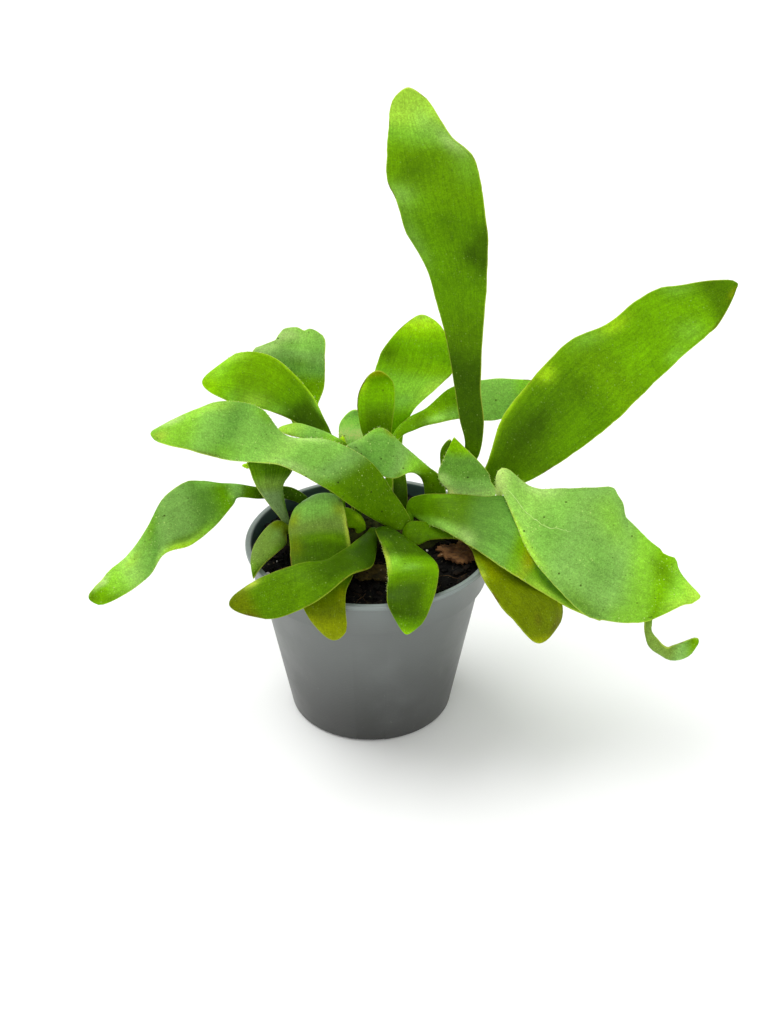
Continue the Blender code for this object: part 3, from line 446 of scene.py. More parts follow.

# Each frond's slot, the factor that scales its colours to make up for the light that falls on it in this
# scene, which is painted light, and the colours themselves at shares of its length from foot to tip. The
# colours and patches hold painted light and shade besides the leaf's own colour: dark patches of painted
# shade, pale patches of painted sheen, and lit rims and tips. A patch of colour lies at (share of the length,
# place across from -1 to 1), with its reach along and across, its colour and its strength. A swell lifts the
# blade in the same way, by its last number. A nudge is a small push near (x, y, z), with its reach and how
# far it moves the blade.
LOOKS = {
    "frond_tall": dict(
        slot=BRIGHT, painted_light_factor=0.86,
        tones=((0.21, SHADE_GREEN), (0.28, DEEP_SHADE_GREEN), (0.41, DEEP_SHADE_GREEN), (0.47, SHADE_GREEN),
               (0.58, MID_GREEN), (0.71, MID_GREEN), (0.78, LEAF_GREEN), (0.86, LEAF_GREEN),
               (0.905, FRESH_GREEN), (0.95, PALE_LIME)),
        patches=((0.835, -0.42, 0.032, 0.4, SHADE_GREEN, 0.8), (0.88, -0.8, 0.026, 0.5, LEAF_GREEN, 0.8),
                 (0.93, 0.35, 0.03, 0.45, SHEEN_GREEN, 0.6), (0.885, 0.8, 0.03, 0.26, PALE_SHEEN_GREEN, 0.6),
                 (0.83, 0.8, 0.03, 0.3, FRESH_GREEN, 0.5), (0.775, -0.85, 0.026, 0.36, SHEEN_GREEN, 0.6),
                 (0.76, -0.35, 0.02, 0.3, SPRING_GREEN, 0.5), (0.68, -0.9, 0.05, 0.22, SHEEN_GREEN, 0.3),
                 (0.652, 0.55, 0.026, 0.36, DEEP_SHADE_GREEN, 0.85), (0.69, 0.88, 0.034, 0.3, DEEP_SHADE_GREEN, 0.85),
                 (0.635, 0.85, 0.03, 0.32, DEEP_SHADE_GREEN, 0.8), (0.7, 0, 0.03, 0.3, SHADE_GREEN, 0.5),
                 (0.5, 0, 0.06, 0.5, SHADE_GREEN, 0.5)),
        swells=((0.85, -0.5, 0.035, 0.45, 0.9), (0.77, -0.85, 0.03, 0.4, -0.8), (0.66, 0.75, 0.04, 0.5, 0.9),
                (0.88, 0.8, 0.04, 0.4, -0.8))),
    "frond_upper_right": dict(
        slot=BRIGHT, painted_light_factor=0.86,
        tones=((0.3, SHADE_GREEN), (0.52, MID_GREEN), (0.62, LEAF_GREEN), (0.7, SPRING_GREEN),
               (0.89, SPRING_GREEN), (0.94, SHADE_GREEN)),
        patches=((0.4, -0.2, 0.11, 0.36, DEEP_SHADE_GREEN, 0.85), (0.54, -0.15, 0.045, 0.36, SHADE_GREEN, 0.7),
                 (0.38, -0.92, 0.16, 0.16, LEAF_GREEN, 0.8), (0.33, -0.99, 0.17, 0.07, YELLOW_LIME, 0.8),
                 (0.52, -0.85, 0.022, 0.2, YELLOW_LIME, 0.85), (0.655, -0.85, 0.045, 0.22, FRESH_GREEN, 0.8),
                 (0.72, -0.85, 0.04, 0.2, YELLOW_LIME, 0.7), (0.88, -0.85, 0.026, 0.25, FRESH_GREEN, 0.7),
                 (0.83, 0.6, 0.035, 0.36, FRESH_GREEN, 0.7), (0.765, 0.85, 0.025, 0.2, FRESH_GREEN, 0.8),
                 (0.4, 0.75, 0.08, 0.25, MID_GREEN, 0.7), (0.27, 0.85, 0.05, 0.3, LEAF_GREEN, 0.7),
                 (0.9, 0.98, 0.04, 0.09, BROWN, 0.6), (0.98, 0.6, 0.014, 0.3, OLIVE, 0.7)),
        nudges=((71.5, 20, 105.5, 3, 0, 0, 0.7),)),
    "frond_forked": dict(
        slot=BLUE, painted_light_factor=0.93,
        tones=((0, LEAF_GREEN), (0.14, PALE_LIME), (0.27, CREAM_SHEEN_GREEN), (0.335, CREAM_SHEEN_GREEN), (0.4, SHEEN_GREEN),
               (0.46, SHEEN_GREEN), (0.55, SOFT_GREEN), (0.62, GREY_GREEN), (0.76, GREY_GREEN), (0.84, FRESH_GREEN),
               (0.89, SPRING_GREEN), (0.94, FRESH_GREEN), (1, PALE_LIME)),
        patches=((0.7, 0.15, 0.07, 0.38, BLUE_GREEN, 0.6), (0.55, 0.2, 0.06, 0.4, BLUE_GREEN, 0.35),
                 (0.7, -0.6, 0.08, 0.3, FRESH_GREEN, 0.6), (0.885, -0.45, 0.03, 0.3, SHADE_GREEN, 0.7),
                 (0.91, -0.15, 0.02, 0.25, SHADE_GREEN, 0.5), (0.47, -0.88, 0.06, 0.25, PALE_SHEEN_GREEN, 0.5),
                 (0.5, 0.96, 0.08, 0.12, PALE_LIME, 0.9), (0.7, 0.93, 0.06, 0.18, SHADE_GREEN, 0.7),
                 (0.8, 0.9, 0.035, 0.22, FRESH_GREEN, 0.7), (0.21, 0, 0.05, 0.9, YELLOW_LIT_RIM, 0.5),
                 (0.97, 0, 0.02, 0.5, PALE_LIME, 0.5), (0.94, 0.8, 0.03, 0.3, PALE_LIME, 0.6)),
        swells=((0.87, -0.45, 0.03, 0.35, -0.6), (0.78, 0.8, 0.04, 0.3, 0.5), (0.55, 0.95, 0.08, 0.25, 0.5)),
        nudges=((64, -5.4, 57.6, 1.6, -0.5, 0, -0.4), (74.4, -13.8, 49.9, 1.1, 0.4, 0, 0.4),
                (72.3, -12.6, 50.8, 1, -0.6, 0, -0.5))),
    "forked lobe": dict(
        painted_light_factor=1.1,
        tones=((0, SHADE_GREEN), (0.14, MOSS_GREY), (0.6, MOSS_GREY), (0.75, GREY_GREEN), (0.9, LEAF_GREEN)),
        patches=((0.45, 0.7, 0.09, 0.3, SHADE_GREEN, 0.4), (0.85, -0.7, 0.07, 0.3, SHADE_GREEN, 0.4))),
    "frond_right_strap": dict(
        slot=BRIGHT, painted_light_factor=0.88,
        tones=((0.22, MID_GREEN), (0.28, SHADE_GREEN), (0.36, SHADE_GREEN), (0.44, BLUE_SHADE),
               (0.55, BLUE_GREEN), (0.6, LEAF_GREEN), (0.65, OLIVE), (0.7, MID_GREEN), (0.8, MID_GREEN),
               (1, LEAF_GREEN)),
        patches=((0.31, 0.82, 0.09, 0.3, SHEEN_GREEN, 0.95), (0.4, 0.8, 0.04, 0.3, PALE_SHEEN_GREEN, 0.5),
                 (0.2, 0.85, 0.06, 0.3, FRESH_GREEN, 0.8), (0.26, -0.85, 0.06, 0.22, SPRING_GREEN, 0.6),
                 (0.52, 0.8, 0.06, 0.3, SOFT_GREEN, 0.5), (0.8, 0.85, 0.11, 0.28, PALE_LIME, 0.9),
                 (0.62, 0.8, 0.05, 0.3, FRESH_GREEN, 0.5))),
    "frond_right_under": dict(
        slot=YELLOWISH, painted_light_factor=0.98,
        tones=((0.3, SHADE_GREEN), (0.5, OLIVE_SHADE), (0.6, OLIVE), (0.7, OLIVE_SHADE), (0.95, OLIVE_SHADE),
               (1, OLIVE)),
        patches=((0.62, 0.95, 0.02, 0.15, YELLOW_LIT_RIM, 0.8), (0.93, -0.75, 0.04, 0.25, BROWN, 0.45),
                 (0.84, -0.88, 0.06, 0.18, OLIVE, 0.9), (0.6, 0.85, 0.04, 0.25, SHADE_GREEN, 0.6),
                 (0.9, 0.2, 0.03, 0.12, BROWN, 0.35))),
    "frond_right_short": dict(
        slot=BLUE, painted_light_factor=1.3,
        tones=((0, LEAF_GREEN), (0.42, PALE_SHEEN_GREEN), (0.55, PALE_SHEEN_GREEN), (0.65, GREY_GREEN),
               (0.74, BLUE_SHADE), (0.84, BLUE_SHADE), (0.92, LEAF_GREEN)),
        patches=((0.54, -0.9, 0.1, 0.28, CREAM_SHEEN_GREEN, 0.95), (0.7, -0.8, 0.03, 0.25, PALE_SHEEN_GREEN, 0.5))),
    "right_short lobe": dict(tones=((0, SHADE_GREEN), (1, DEEP_SHADE_GREEN))),
    "frond_centre": dict(
        slot=BLUE,
        tones=((0.49, SHADE_GREEN), (0.52, LEAF_GREEN), (0.58, FRESH_GREEN), (0.66, GREY_GREEN),
               (0.74, BLUE_GREEN), (0.86, BLUE_GREEN), (1, GREY_GREEN)),
        patches=((0.84, 0.92, 0.06, 0.22, FRESH_GREEN, 0.7), (0.76, 0.95, 0.03, 0.14, OLIVE, 0.7),
                 (0.69, 0.05, 0.006, 0.08, SPECK, 1), (0.86, 0.45, 0.006, 0.1, SPECK, 1),
                 (0.945, -0.4, 0.006, 0.1, SPECK, 1), (0.92, 0.7, 0.05, 0.4, SHEEN_GREEN, 0.6),
                 (0.645, -0.9, 0.022, 0.25, SHADE_GREEN, 0.8), (0.52, -0.8, 0.02, 0.3, SHEEN_GREEN, 0.7))),
    "frond_spoon": dict(
        slot=YELLOWISH,
        tones=((0.71, SHADE_GREEN), (0.76, MID_GREEN), (0.82, SPRING_GREEN), (0.88, SPRING_GREEN),
               (0.94, MID_GREEN), (1, OLIVE)),
        patches=((0.74, -0.88, 0.15, 0.3, SPRING_GREEN, 0.75), (0.9, -0.9, 0.05, 0.3, YELLOW_LIME, 0.6),
                 (0.71, 0.3, 0.02, 0.5, SHADE_GREEN, 0.5))),
    "frond_back_tall": dict(
        slot=BRIGHT, painted_light_factor=0.95,
        tones=((0, SHADE_GREEN), (0.18, DEEP_SHADE_GREEN), (0.3, LEAF_GREEN), (0.52, SPRING_GREEN),
               (0.6, FRESH_GREEN), (0.68, FRESH_GREEN), (0.76, SPRING_GREEN), (0.87, SPRING_GREEN),
               (0.92, LIME), (0.96, YELLOW_LIME), (1, PALE_LIME)),
        patches=((0.8, -0.8, 0.05, 0.34, SHADE_GREEN, 0.9), (0.77, -0.35, 0.03, 0.34, LEAF_GREEN, 0.6),
                 (0.66, 0.9, 0.07, 0.28, PALE_LIME, 0.7), (0.6, 0.1, 0.03, 0.4, SOFT_GREEN, 0.5),
                 (0.76, 0.6, 0.03, 0.4, LIME, 0.6))),
    "frond_back_small": dict(
        slot=BLUE, painted_light_factor=1.5,
        tones=((0, LEAF_GREEN), (0.66, SOFT_GREEN), (0.78, PALE_SHEEN_GREEN), (0.88, SHEEN_GREEN), (1, GREY_GREEN)),
        patches=((0.7, -0.4, 0.02, 0.3, SHADE_GREEN, 0.6),)),
    "frond_back_strap": dict(
        slot=BLUE, painted_light_factor=1.15,
        tones=((0, SHADE_GREEN), (0.22, LEAF_GREEN), (0.36, LEAF_GREEN), (0.42, MID_GREEN),
               (0.47, SHADE_GREEN), (0.53, LEAF_GREEN), (0.58, LEAF_GREEN), (0.66, MID_GREEN),
               (0.74, SOFT_GREEN), (0.84, SOFT_GREEN), (0.9, FRESH_GREEN), (1, PALE_LIME)),
        patches=((0.49, -0.4, 0.04, 0.5, SHADE_GREEN, 0.8), (0.53, 0.6, 0.04, 0.4, SHEEN_GREEN, 0.8),
                 (0.6, 0.7, 0.04, 0.4, SOFT_GREEN, 0.7), (0.63, -0.5, 0.05, 0.5, MID_GREEN, 0.6))),
    "frond_back_left": dict(
        slot=BLUE, painted_light_factor=0.92,
        tones=((0, SHADE_GREEN), (0.6, LEAF_GREEN), (0.73, LEAF_GREEN), (0.8, BLUE_GREEN), (0.86, GREY_GREEN),
               (0.91, SOFT_GREEN), (1, SHEEN_GREEN)),
        patches=((0.88, -0.8, 0.06, 0.36, PALE_SHEEN_GREEN, 0.6), (0.82, 0.3, 0.03, 0.36, SHADE_GREEN, 0.45),
                 (0.955, -0.6, 0.025, 0.5, PALE_SHEEN_GREEN, 0.85), (0.9, 0.8, 0.05, 0.3, BLUE_GREEN, 0.4)),
        nudges=((-15.4, 27, 92.6, 1.1, 0, 0, -1.1), (-23, 27.2, 89.6, 1.4, 0.4, 0, -0.8),
                (-19.4, 27.4, 91.2, 1.8, -0.5, 0, 0.5))),
    "frond_left_upper": dict(
        slot=BRIGHT, painted_light_factor=0.95,
        tones=((0, DEEP_SHADE_GREEN), (0.42, SHADE_GREEN), (0.51, DEEP_SHADE_GREEN), (0.58, DEEP_SHADE_GREEN),
               (0.66, MID_GREEN), (0.74, LEAF_GREEN), (0.84, LEAF_GREEN), (0.9, SPRING_GREEN), (0.96, LIME)),
        patches=((0.63, -0.85, 0.04, 0.35, FRESH_GREEN, 0.8), (0.74, -0.85, 0.06, 0.36, PALE_LIME, 0.8),
                 (0.85, -0.85, 0.04, 0.3, FRESH_GREEN, 0.7), (0.57, 0.9, 0.04, 0.2, FRESH_GREEN, 0.7),
                 (0.89, 0.88, 0.03, 0.25, PALE_LIME, 0.6), (0.94, 0.4, 0.03, 0.5, FRESH_GREEN, 0.5),
                 (0.64, 0.97, 0.14, 0.07, YELLOW_LIME, 0.8), (0.68, 0.7, 0.06, 0.3, SHADE_GREEN, 0.4))),
    "frond_left_long": dict(
        slot=BLUE, painted_light_factor=0.97,
        tones=((0.34, SHADE_GREEN), (0.41, GREY_GREEN), (0.46, SOFT_GREEN), (0.52, SOFT_GREEN), (0.58, SHEEN_GREEN),
               (0.66, SOFT_GREEN), (0.71, SOFT_GREEN), (0.77, BLUE_GREEN), (0.83, SOFT_GREEN),
               (0.9, FRESH_GREEN)),
        patches=((0.36, -0.85, 0.05, 0.2, LEAF_GREEN, 0.7), (0.28, -0.85, 0.05, 0.2, LEAF_GREEN, 0.6),
                 (0.5, -0.85, 0.07, 0.2, PALE_SHEEN_GREEN, 0.5), (0.55, 0.85, 0.05, 0.25, PALE_SHEEN_GREEN, 0.5),
                 (0.7, 0.88, 0.03, 0.2, SPRING_GREEN, 0.6), (0.84, 0.85, 0.05, 0.25, PALE_LIME, 0.5),
                 (0.94, 0.8, 0.03, 0.3, PALE_SHEEN_GREEN, 0.7), (0.75, -0.8, 0.06, 0.3, SPRING_GREEN, 0.4),
                 (0.97, -0.3, 0.02, 0.5, YELLOW_LIT_RIM, 0.4), (0.8, -0.97, 0.06, 0.07, BROWN, 0.5))),
    "frond_left_behind": dict(
        slot=BLUE,
        tones=((0, DEEP_SHADE_GREEN), (0.62, SHADE_GREEN), (0.71, FRESH_GREEN), (0.8, SOFT_GREEN), (1, PALE_LIME))),
    "frond_left_twisted": dict(
        slot=BLUE, painted_light_factor=0.95,
        tones=((0.28, DEEP_SHADE_GREEN), (0.345, SHADE_GREEN), (0.385, GREY_GREEN), (0.43, MID_GREEN),
               (0.51, BLUE_SHADE), (0.6, GREY_GREEN), (0.66, GREY_GREEN), (0.71, BLUE_GREEN),
               (0.77, SOFT_GREEN), (0.83, SHEEN_GREEN), (0.9, FRESH_GREEN), (0.95, SPRING_GREEN), (1, LEAF_GREEN)),
        patches=((0.5, 0.85, 0.06, 0.22, SOFT_GREEN, 0.8), (0.52, -0.85, 0.04, 0.2, FRESH_GREEN, 0.6),
                 (0.61, -0.95, 0.07, 0.16, YELLOW_LIME, 0.85), (0.6, -0.72, 0.06, 0.1, SHADE_GREEN, 0.7),
                 (0.73, 0.7, 0.04, 0.5, LEAF_GREEN, 0.6), (0.69, -0.85, 0.03, 0.2, SHEEN_GREEN, 0.7),
                 (0.94, 0.85, 0.03, 0.25, PALE_SHEEN_GREEN, 0.8), (0.82, 0.45, 0.03, 0.3, PALE_LIME, 0.5),
                 (0.93, -0.8, 0.04, 0.3, SHADE_GREEN, 0.6), (0.99, 0.3, 0.02, 0.6, DEEP_SHADE_GREEN, 0.4)),
        swells=((0.61, -1, 0.08, 0.22, 1.6), (0.42, 0, 0.04, 0.6, -0.7), (0.82, 0.6, 0.03, 0.4, 0.8),
                (0.88, 0.9, 0.03, 0.4, -0.7)),
        nudges=((-62.2, -15.5, 44.6, 1.2, 0.4, 0, -0.6),)),
    "frond_left_standing": dict(
        slot=BLUE, finish=FELTED, painted_light_factor=1.25,
        tones=((0, SHADE_GREEN), (0.25, FELT_GREY), (0.5, FELT_GREY), (0.62, MOSS_GREY), (0.74, DEEP_SHADE_GREEN)),
        patches=((0.72, 0.88, 0.07, 0.3, SHADE_GREEN, 0.9), (0.4, -0.85, 0.15, 0.25, SHADE_GREEN, 0.7))),
    "left_standing lobe": dict(tones=((0, LIME), (1, YELLOW_LIME))),
    "frond_left_rim": dict(
        slot=BLUE, painted_light_factor=0.93,
        tones=((0, SHADE_GREEN), (0.34, OLIVE_SHADE), (0.46, MOSS_GREY), (0.78, MOSS_GREY), (1, SHADE_GREEN)),
        patches=((0.6, -0.85, 0.2, 0.3, SHADE_GREEN, 0.7), (0.45, 0, 0.12, 0.25, GREY_GREEN, 0.3),
                 (0.36, -0.9, 0.05, 0.15, YELLOW_LIT_RIM, 0.6))),
    "frond_front_arched": dict(
        slot=YELLOWISH, painted_light_factor=0.88,
        tones=((0, SHADE_GREEN), (0.27, GREY_GREEN), (0.33, SOFT_GREEN), (0.41, MOSS_GREY),
               (0.47, SHADE_GREEN), (0.53, DEEP_SHADE_GREEN), (0.63, DEEP_SHADE_GREEN), (0.74, SHADE_GREEN),
               (0.88, OLIVE_SHADE), (0.93, OLIVE)),
        patches=((0.34, -0.8, 0.035, 0.25, OLIVE, 0.7), (0.36, 0.85, 0.04, 0.25, OLIVE, 0.8),
                 (0.5, 0.85, 0.08, 0.25, OLIVE_SHADE, 0.8), (0.42, -0.95, 0.1, 0.08, YELLOW_LIT_RIM, 0.6),
                 (0.3, -0.96, 0.012, 0.1, SPECK, 0.9), (0.82, -0.85, 0.04, 0.25, OLIVE, 0.8))),
    "frond_front_long": dict(
        slot=YELLOWISH, painted_light_factor=0.86,
        tones=((0.12, DEEP_SHADE_GREEN), (0.22, DARKER_SHADE_GREEN), (0.36, DARKER_SHADE_GREEN), (0.46, DEEP_SHADE_GREEN),
               (0.62, DEEP_SHADE_GREEN), (0.72, SHADE_GREEN), (0.88, SHADE_GREEN), (0.94, OLIVE_SHADE)),
        patches=((0.3, 0.85, 0.1, 0.25, SHADE_GREEN, 0.7), (0.6, -0.85, 0.12, 0.25, SHADE_GREEN, 0.7),
                 (0.66, 0.85, 0.12, 0.25, SHADE_GREEN, 0.6), (0.76, -0.85, 0.03, 0.2, LEAF_GREEN, 0.6),
                 (0.38, -0.85, 0.04, 0.25, DARKEST_SHADE_GREEN, 0.6), (0.89, 0.9, 0.03, 0.15, YELLOW_LIT_RIM, 0.6),
                 (0.93, -0.9, 0.03, 0.12, BROWN, 0.5))),
    "frond_front_centre": dict(
        slot=YELLOWISH, painted_light_factor=0.88,
        tones=((0, DARKEST_SHADE_GREEN), (0.2, DARKER_SHADE_GREEN), (0.34, DEEP_SHADE_GREEN), (0.42, DEEP_SHADE_GREEN), (0.5, MID_GREEN),
               (0.57, LEAF_GREEN), (0.64, MID_GREEN), (0.7, SHADE_GREEN), (0.77, DEEP_SHADE_GREEN),
               (0.89, DEEP_SHADE_GREEN), (0.94, MID_GREEN), (1, LIME)),
        patches=((0.78, -0.85, 0.12, 0.35, LEAF_GREEN, 0.8), (0.5, 0.75, 0.06, 0.36, FRESH_GREEN, 0.8),
                 (0.47, 0.95, 0.09, 0.12, YELLOW_LIT_RIM, 0.7), (0.57, 0.1, 0.035, 0.4, SOFT_GREEN, 0.5),
                 (0.34, 0.8, 0.05, 0.3, LEAF_GREEN, 0.5))),
    "frond_front_small": dict(
        slot=YELLOWISH,
        tones=((0, SHADE_GREEN), (1, LEAF_GREEN)),
        patches=((0.6, 0.6, 0.2, 0.4, YELLOW_LIME, 0.6),)),
    "frond_bud": dict(slot=BRIGHT, tones=((0, LIME), (1, YELLOW_LIME))),
}

# Studio: each light's strength, softness in degrees and the direction that it comes from
LIGHTS = {
    "key light": (2.0, 50, (-0.45, 0.25, 0.85)),
    "front light": (0.6, 60, (0.2, -0.85, 0.5)),
}
SKY_COLOUR = (1.0, 1.0, 0.99, 1)
SKY_STRENGTH = 0.75
FLOOR_REACH = 3000
CAMERA_LENS = 46.487
CAMERA_PLACE = (0.0033918, -0.2826688, 0.2184032)
CAMERA_TILT_DEGREES = 60


# Shader nodes

def feed(tree, socket, value):
    """Links an output to a socket, or sets the socket to a value. A colour may come without its alpha."""
    if isinstance(value, bpy.types.NodeSocket):
        tree.links.new(value, socket)
    elif socket.type == "RGBA" and len(value) == 3:
        socket.default_value = (*value, 1.0)
    else:
        socket.default_value = value


def node(tree, kind, inputs=(), **settings):
    """A shader node with its settings, and each input set to a value or linked to an output."""
    made = tree.nodes.new(kind)
    for name, value in settings.items():
        setattr(made, name, value)
    for name, value in dict(inputs).items():
        feed(tree, made.inputs[name], value)
    return made


def chained(tree, operation, *values, clamp=False):
    """The values taken together one after another, by Math nodes of one operation."""
    result, *others = values
    for value in others:
        result = node(tree, "ShaderNodeMath", {0: result, 1: value}, operation=operation,
                      use_clamp=clamp).outputs[0]
    return result


def product(tree, *values):
    return chained(tree, "MULTIPLY", *values)


def total(tree, *values, clamp=False):
    return chained(tree, "ADD", *values, clamp=clamp)


def mixed(tree, share, under, over, how="MIX"):
    """A share of one colour laid over another."""
    return node(tree, "ShaderNodeMix", {0: share, 6: under, 7: over}, data_type="RGBA", blend_type=how,
                clamp_factor=True).outputs[2]


def eased(tree, value, start, end, low=0.0, high=1.0):
    """A smooth step of a value, from low at start to high at end."""
    return node(tree, "ShaderNodeMapRange", {
        "Value": value, "From Min": start, "From Max": end, "To Min": low, "To Max": high,
    }, interpolation_type="SMOOTHSTEP").outputs["Result"]


def cloud(tree, place, scale, detail=3.0, roughness=0.55, distortion=0.0):
    return node(tree, "ShaderNodeTexNoise", {
        "Vector": place, "Scale": scale, "Detail": detail, "Roughness": roughness, "Distortion": distortion,
    }).outputs["Fac"]


def bands(tree, place, scale, distortion):
    """Rings about the upright axis."""
    return node(tree, "ShaderNodeTexWave", {
        "Vector": place, "Scale": scale, "Distortion": distortion, "Detail": 1.0,
    }, bands_direction="Z").outputs["Fac"]


def dots(tree, place, scale, size, share):
    """Small round dots: one in each cell of a Voronoi pattern, in only a share of the cells."""
    cells = node(tree, "ShaderNodeTexVoronoi", {"Vector": place, "Scale": scale, "Randomness": 1.0})
    near = eased(tree, cells.outputs["Distance"], size * 1.4, size * 0.6)
    chosen = node(tree, "ShaderNodeSeparateColor", {"Color": cells.outputs["Color"]}).outputs["Red"]
    return product(tree, near, chained(tree, "LESS_THAN", chosen, share))


def own_place(tree):
    return node(tree, "ShaderNodeTexCoord").outputs["Object"]


def own_value(tree, name, output="Fac"):
    return node(tree, "ShaderNodeAttribute", attribute_name=name).outputs[output]


# Surfaces that several materials share

VECTOR, COLOUR, NUMBER = "NodeSocketVector", "NodeSocketColor", "NodeSocketFloat"
SURFACE_OUTPUTS = {"Colour": COLOUR, "Roughness": NUMBER, "Height": NUMBER}


def new_group(name, inputs):
    """A node group with its named inputs and the three outputs of a surface."""
    group = bpy.data.node_groups.new(name, "ShaderNodeTree")
    for way, sockets in (("INPUT", inputs), ("OUTPUT", SURFACE_OUTPUTS)):
        for label, kind in sockets.items():
            group.interface.new_socket(label, in_out=way, socket_type=kind)
    return group, group.nodes.new("NodeGroupInput").outputs, group.nodes.new("NodeGroupOutput").inputs


def leaf_group():
    """A painted tone, which holds painted light and shade, with clouds, mottling, lengthwise veins, star
    hairs, dark specks and a pale rim of painted light through the thin edge.
    """
    group, given, out = new_group("leaf surface", {
        "Place": VECTOR, "Tone": COLOUR, "Across": NUMBER, "Along": NUMBER, "From Edge": NUMBER,
        "Lit Rim Colour": COLOUR, "Rim Width": NUMBER, "Vein Strength": NUMBER, "Hairs": NUMBER,
        "Specks": NUMBER})
    place, from_edge = given["Place"], given["From Edge"]
    clouds = cloud(group, place, scale=70.0, detail=4.0, distortion=0.4)
    mottling = cloud(group, place, scale=700.0, detail=4.0, roughness=0.7)
    grain = cloud(group, place, scale=2800.0, detail=2.0, roughness=0.7)
    lengthwise = node(group, "ShaderNodeCombineXYZ", {
        "X": product(group, given["Across"], 9.0), "Y": product(group, given["Along"], 0.035)}).outputs[0]
    veins = cloud(group, lengthwise, scale=2.2, detail=4.0, roughness=0.6)
    vein_light = node(group, "ShaderNodeMapRange", {
        "Value": given["Vein Strength"], "To Min": 1.0, "To Max": eased(group, veins, 0.3, 0.7, 0.84, 1.16),
    }, clamp=False).outputs["Result"]
    light = product(group, eased(group, clouds, 0.36, 0.68, 0.90, 1.12),
                    eased(group, mottling, 0.32, 0.68, 0.90, 1.11),
                    eased(group, grain, 0.3, 0.7, 0.86, 1.16), vein_light)
    grey = node(group, "ShaderNodeCombineColor", {"Red": light, "Green": light, "Blue": light}).outputs[0]
    colour = mixed(group, 1.0, given["Tone"], grey, "MULTIPLY")

    # The pale rim is painted light shining through the thin edge. Its width wavers, and the very edge is dry
    # and brown here and there
    worn = product(group, cloud(group, place, scale=180.0, detail=2.0), 0.7)
    rim_reach = product(group, given["Rim Width"], total(group, worn, 0.65))
    rim = eased(group, chained(group, "DIVIDE", from_edge, rim_reach), 1.0, 0.15)
    colour = mixed(group, product(group, rim, 0.45), colour, given["Lit Rim Colour"])
    dried = product(group, eased(group, cloud(group, place, scale=150.0), 0.60, 0.68),
                    eased(group, from_edge, 0.45, 0.1))
    colour = mixed(group, product(group, dried, 0.7), colour, BROWN)

    # Star hairs stand in tufts, with finer ones between them, and specks come in two sizes
    tufts = eased(group, cloud(group, place, scale=110.0), 0.46, 0.62)
    large_hairs = product(group, dots(group, place, 1000.0, size=0.17, share=0.45), tufts)
    fine_hairs = product(group, dots(group, place, 1900.0, size=0.22, share=0.30), 0.45)
    hairs = product(group, total(group, large_hairs, fine_hairs, clamp=True), given["Hairs"])
    colour = mixed(group, hairs, colour, STAR_HAIR)
    large_specks = product(group, dots(group, place, 380.0, size=0.10, share=0.22), given["Specks"])
    fine_specks = product(group, dots(group, place, 900.0, size=0.16, share=0.16), 0.6, given["Specks"])
    colour = mixed(group, total(group, large_specks, fine_specks, clamp=True), colour, SPECK)

    feed(group, out["Colour"], colour)
    feed(group, out["Roughness"], total(group, eased(group, mottling, 0.3, 0.7, 0.36, 0.50),
                                        product(group, hairs, 0.3)))
    feed(group, out["Height"], total(group, product(group, grain, 0.25), product(group, mottling, 0.5),
                                     product(group, veins, 0.5), hairs))
    return group


def crumbly_group():
    """Crumbly variation for potting mix, bark and dry leaf: two colours, pale grains and a fine relief."""
    group, given, out = new_group("crumbly surface", {
        "Place": VECTOR, "Dark": COLOUR, "Light": COLOUR, "Scale": NUMBER, "Grains": NUMBER})
    place, scale = given["Place"], given["Scale"]
    coarse = cloud(group, place, scale, detail=5.0, roughness=0.65)
    fine = cloud(group, place, product(group, scale, 4.0), detail=2.0)
    colour = mixed(group, eased(group, coarse, 0.38, 0.68), given["Dark"], given["Light"])
    grains = product(group, dots(group, place, 800.0, size=0.2, share=0.2), given["Grains"])
    feed(group, out["Colour"], mixed(group, grains, colour, CRUMBLY_GRAIN))
    feed(group, out["Roughness"], eased(group, fine, 0.3, 0.7, 0.72, 0.98))
    feed(group, out["Height"], total(group, coarse, product(group, fine, 0.4)))
    return group


LEAF_SURFACE = leaf_group()
CRUMBLY_SURFACE = crumbly_group()


# Materials

def new_material(name):
    made = bpy.data.materials.new(name)
    made.use_nodes = True
    return made, made.node_tree, made.node_tree.nodes["Principled BSDF"]


def covered(tree, skin, colour, roughness, height=None, relief=0.0):
    """Gives a shader its colour and roughness, and a fine relief where there is one."""
    feed(tree, skin.inputs["Base Color"], colour)
    feed(tree, skin.inputs["Roughness"], roughness)
    if height is not None:
        bump = node(tree, "ShaderNodeBump", {"Height": height, "Distance": relief, "Strength": 1.0})
        feed(tree, skin.inputs["Normal"], bump.outputs["Normal"])


def leaf_material(finish):
    name, rim, rim_width, veins, hairs, specks = LEAF_FINISHES[finish]
    made, tree, skin = new_material(name)
    look = node(tree, "ShaderNodeGroup", {
        "Place": own_place(tree), "Tone": own_value(tree, "leaf_tone_with_painted_light", "Color"),
        "Across": own_value(tree, "leaf_across"), "Along": own_value(tree, "leaf_along"),
        "From Edge": own_value(tree, "from_edge"), "Lit Rim Colour": rim, "Rim Width": rim_width,
        "Vein Strength": veins, "Hairs": hairs, "Specks": specks}, node_tree=LEAF_SURFACE)
    covered(tree, skin, *look.outputs, LEAF_RELIEF)
    skin.inputs["Specular IOR Level"].default_value = LEAF_SPECULAR
    skin.inputs["Subsurface Weight"].default_value = LEAF_GLOW
    skin.inputs["Subsurface Radius"].default_value = (1.0, 1.0, 1.0)
    skin.inputs["Subsurface Scale"].default_value = LEAF_GLOW_DEPTH
    return made


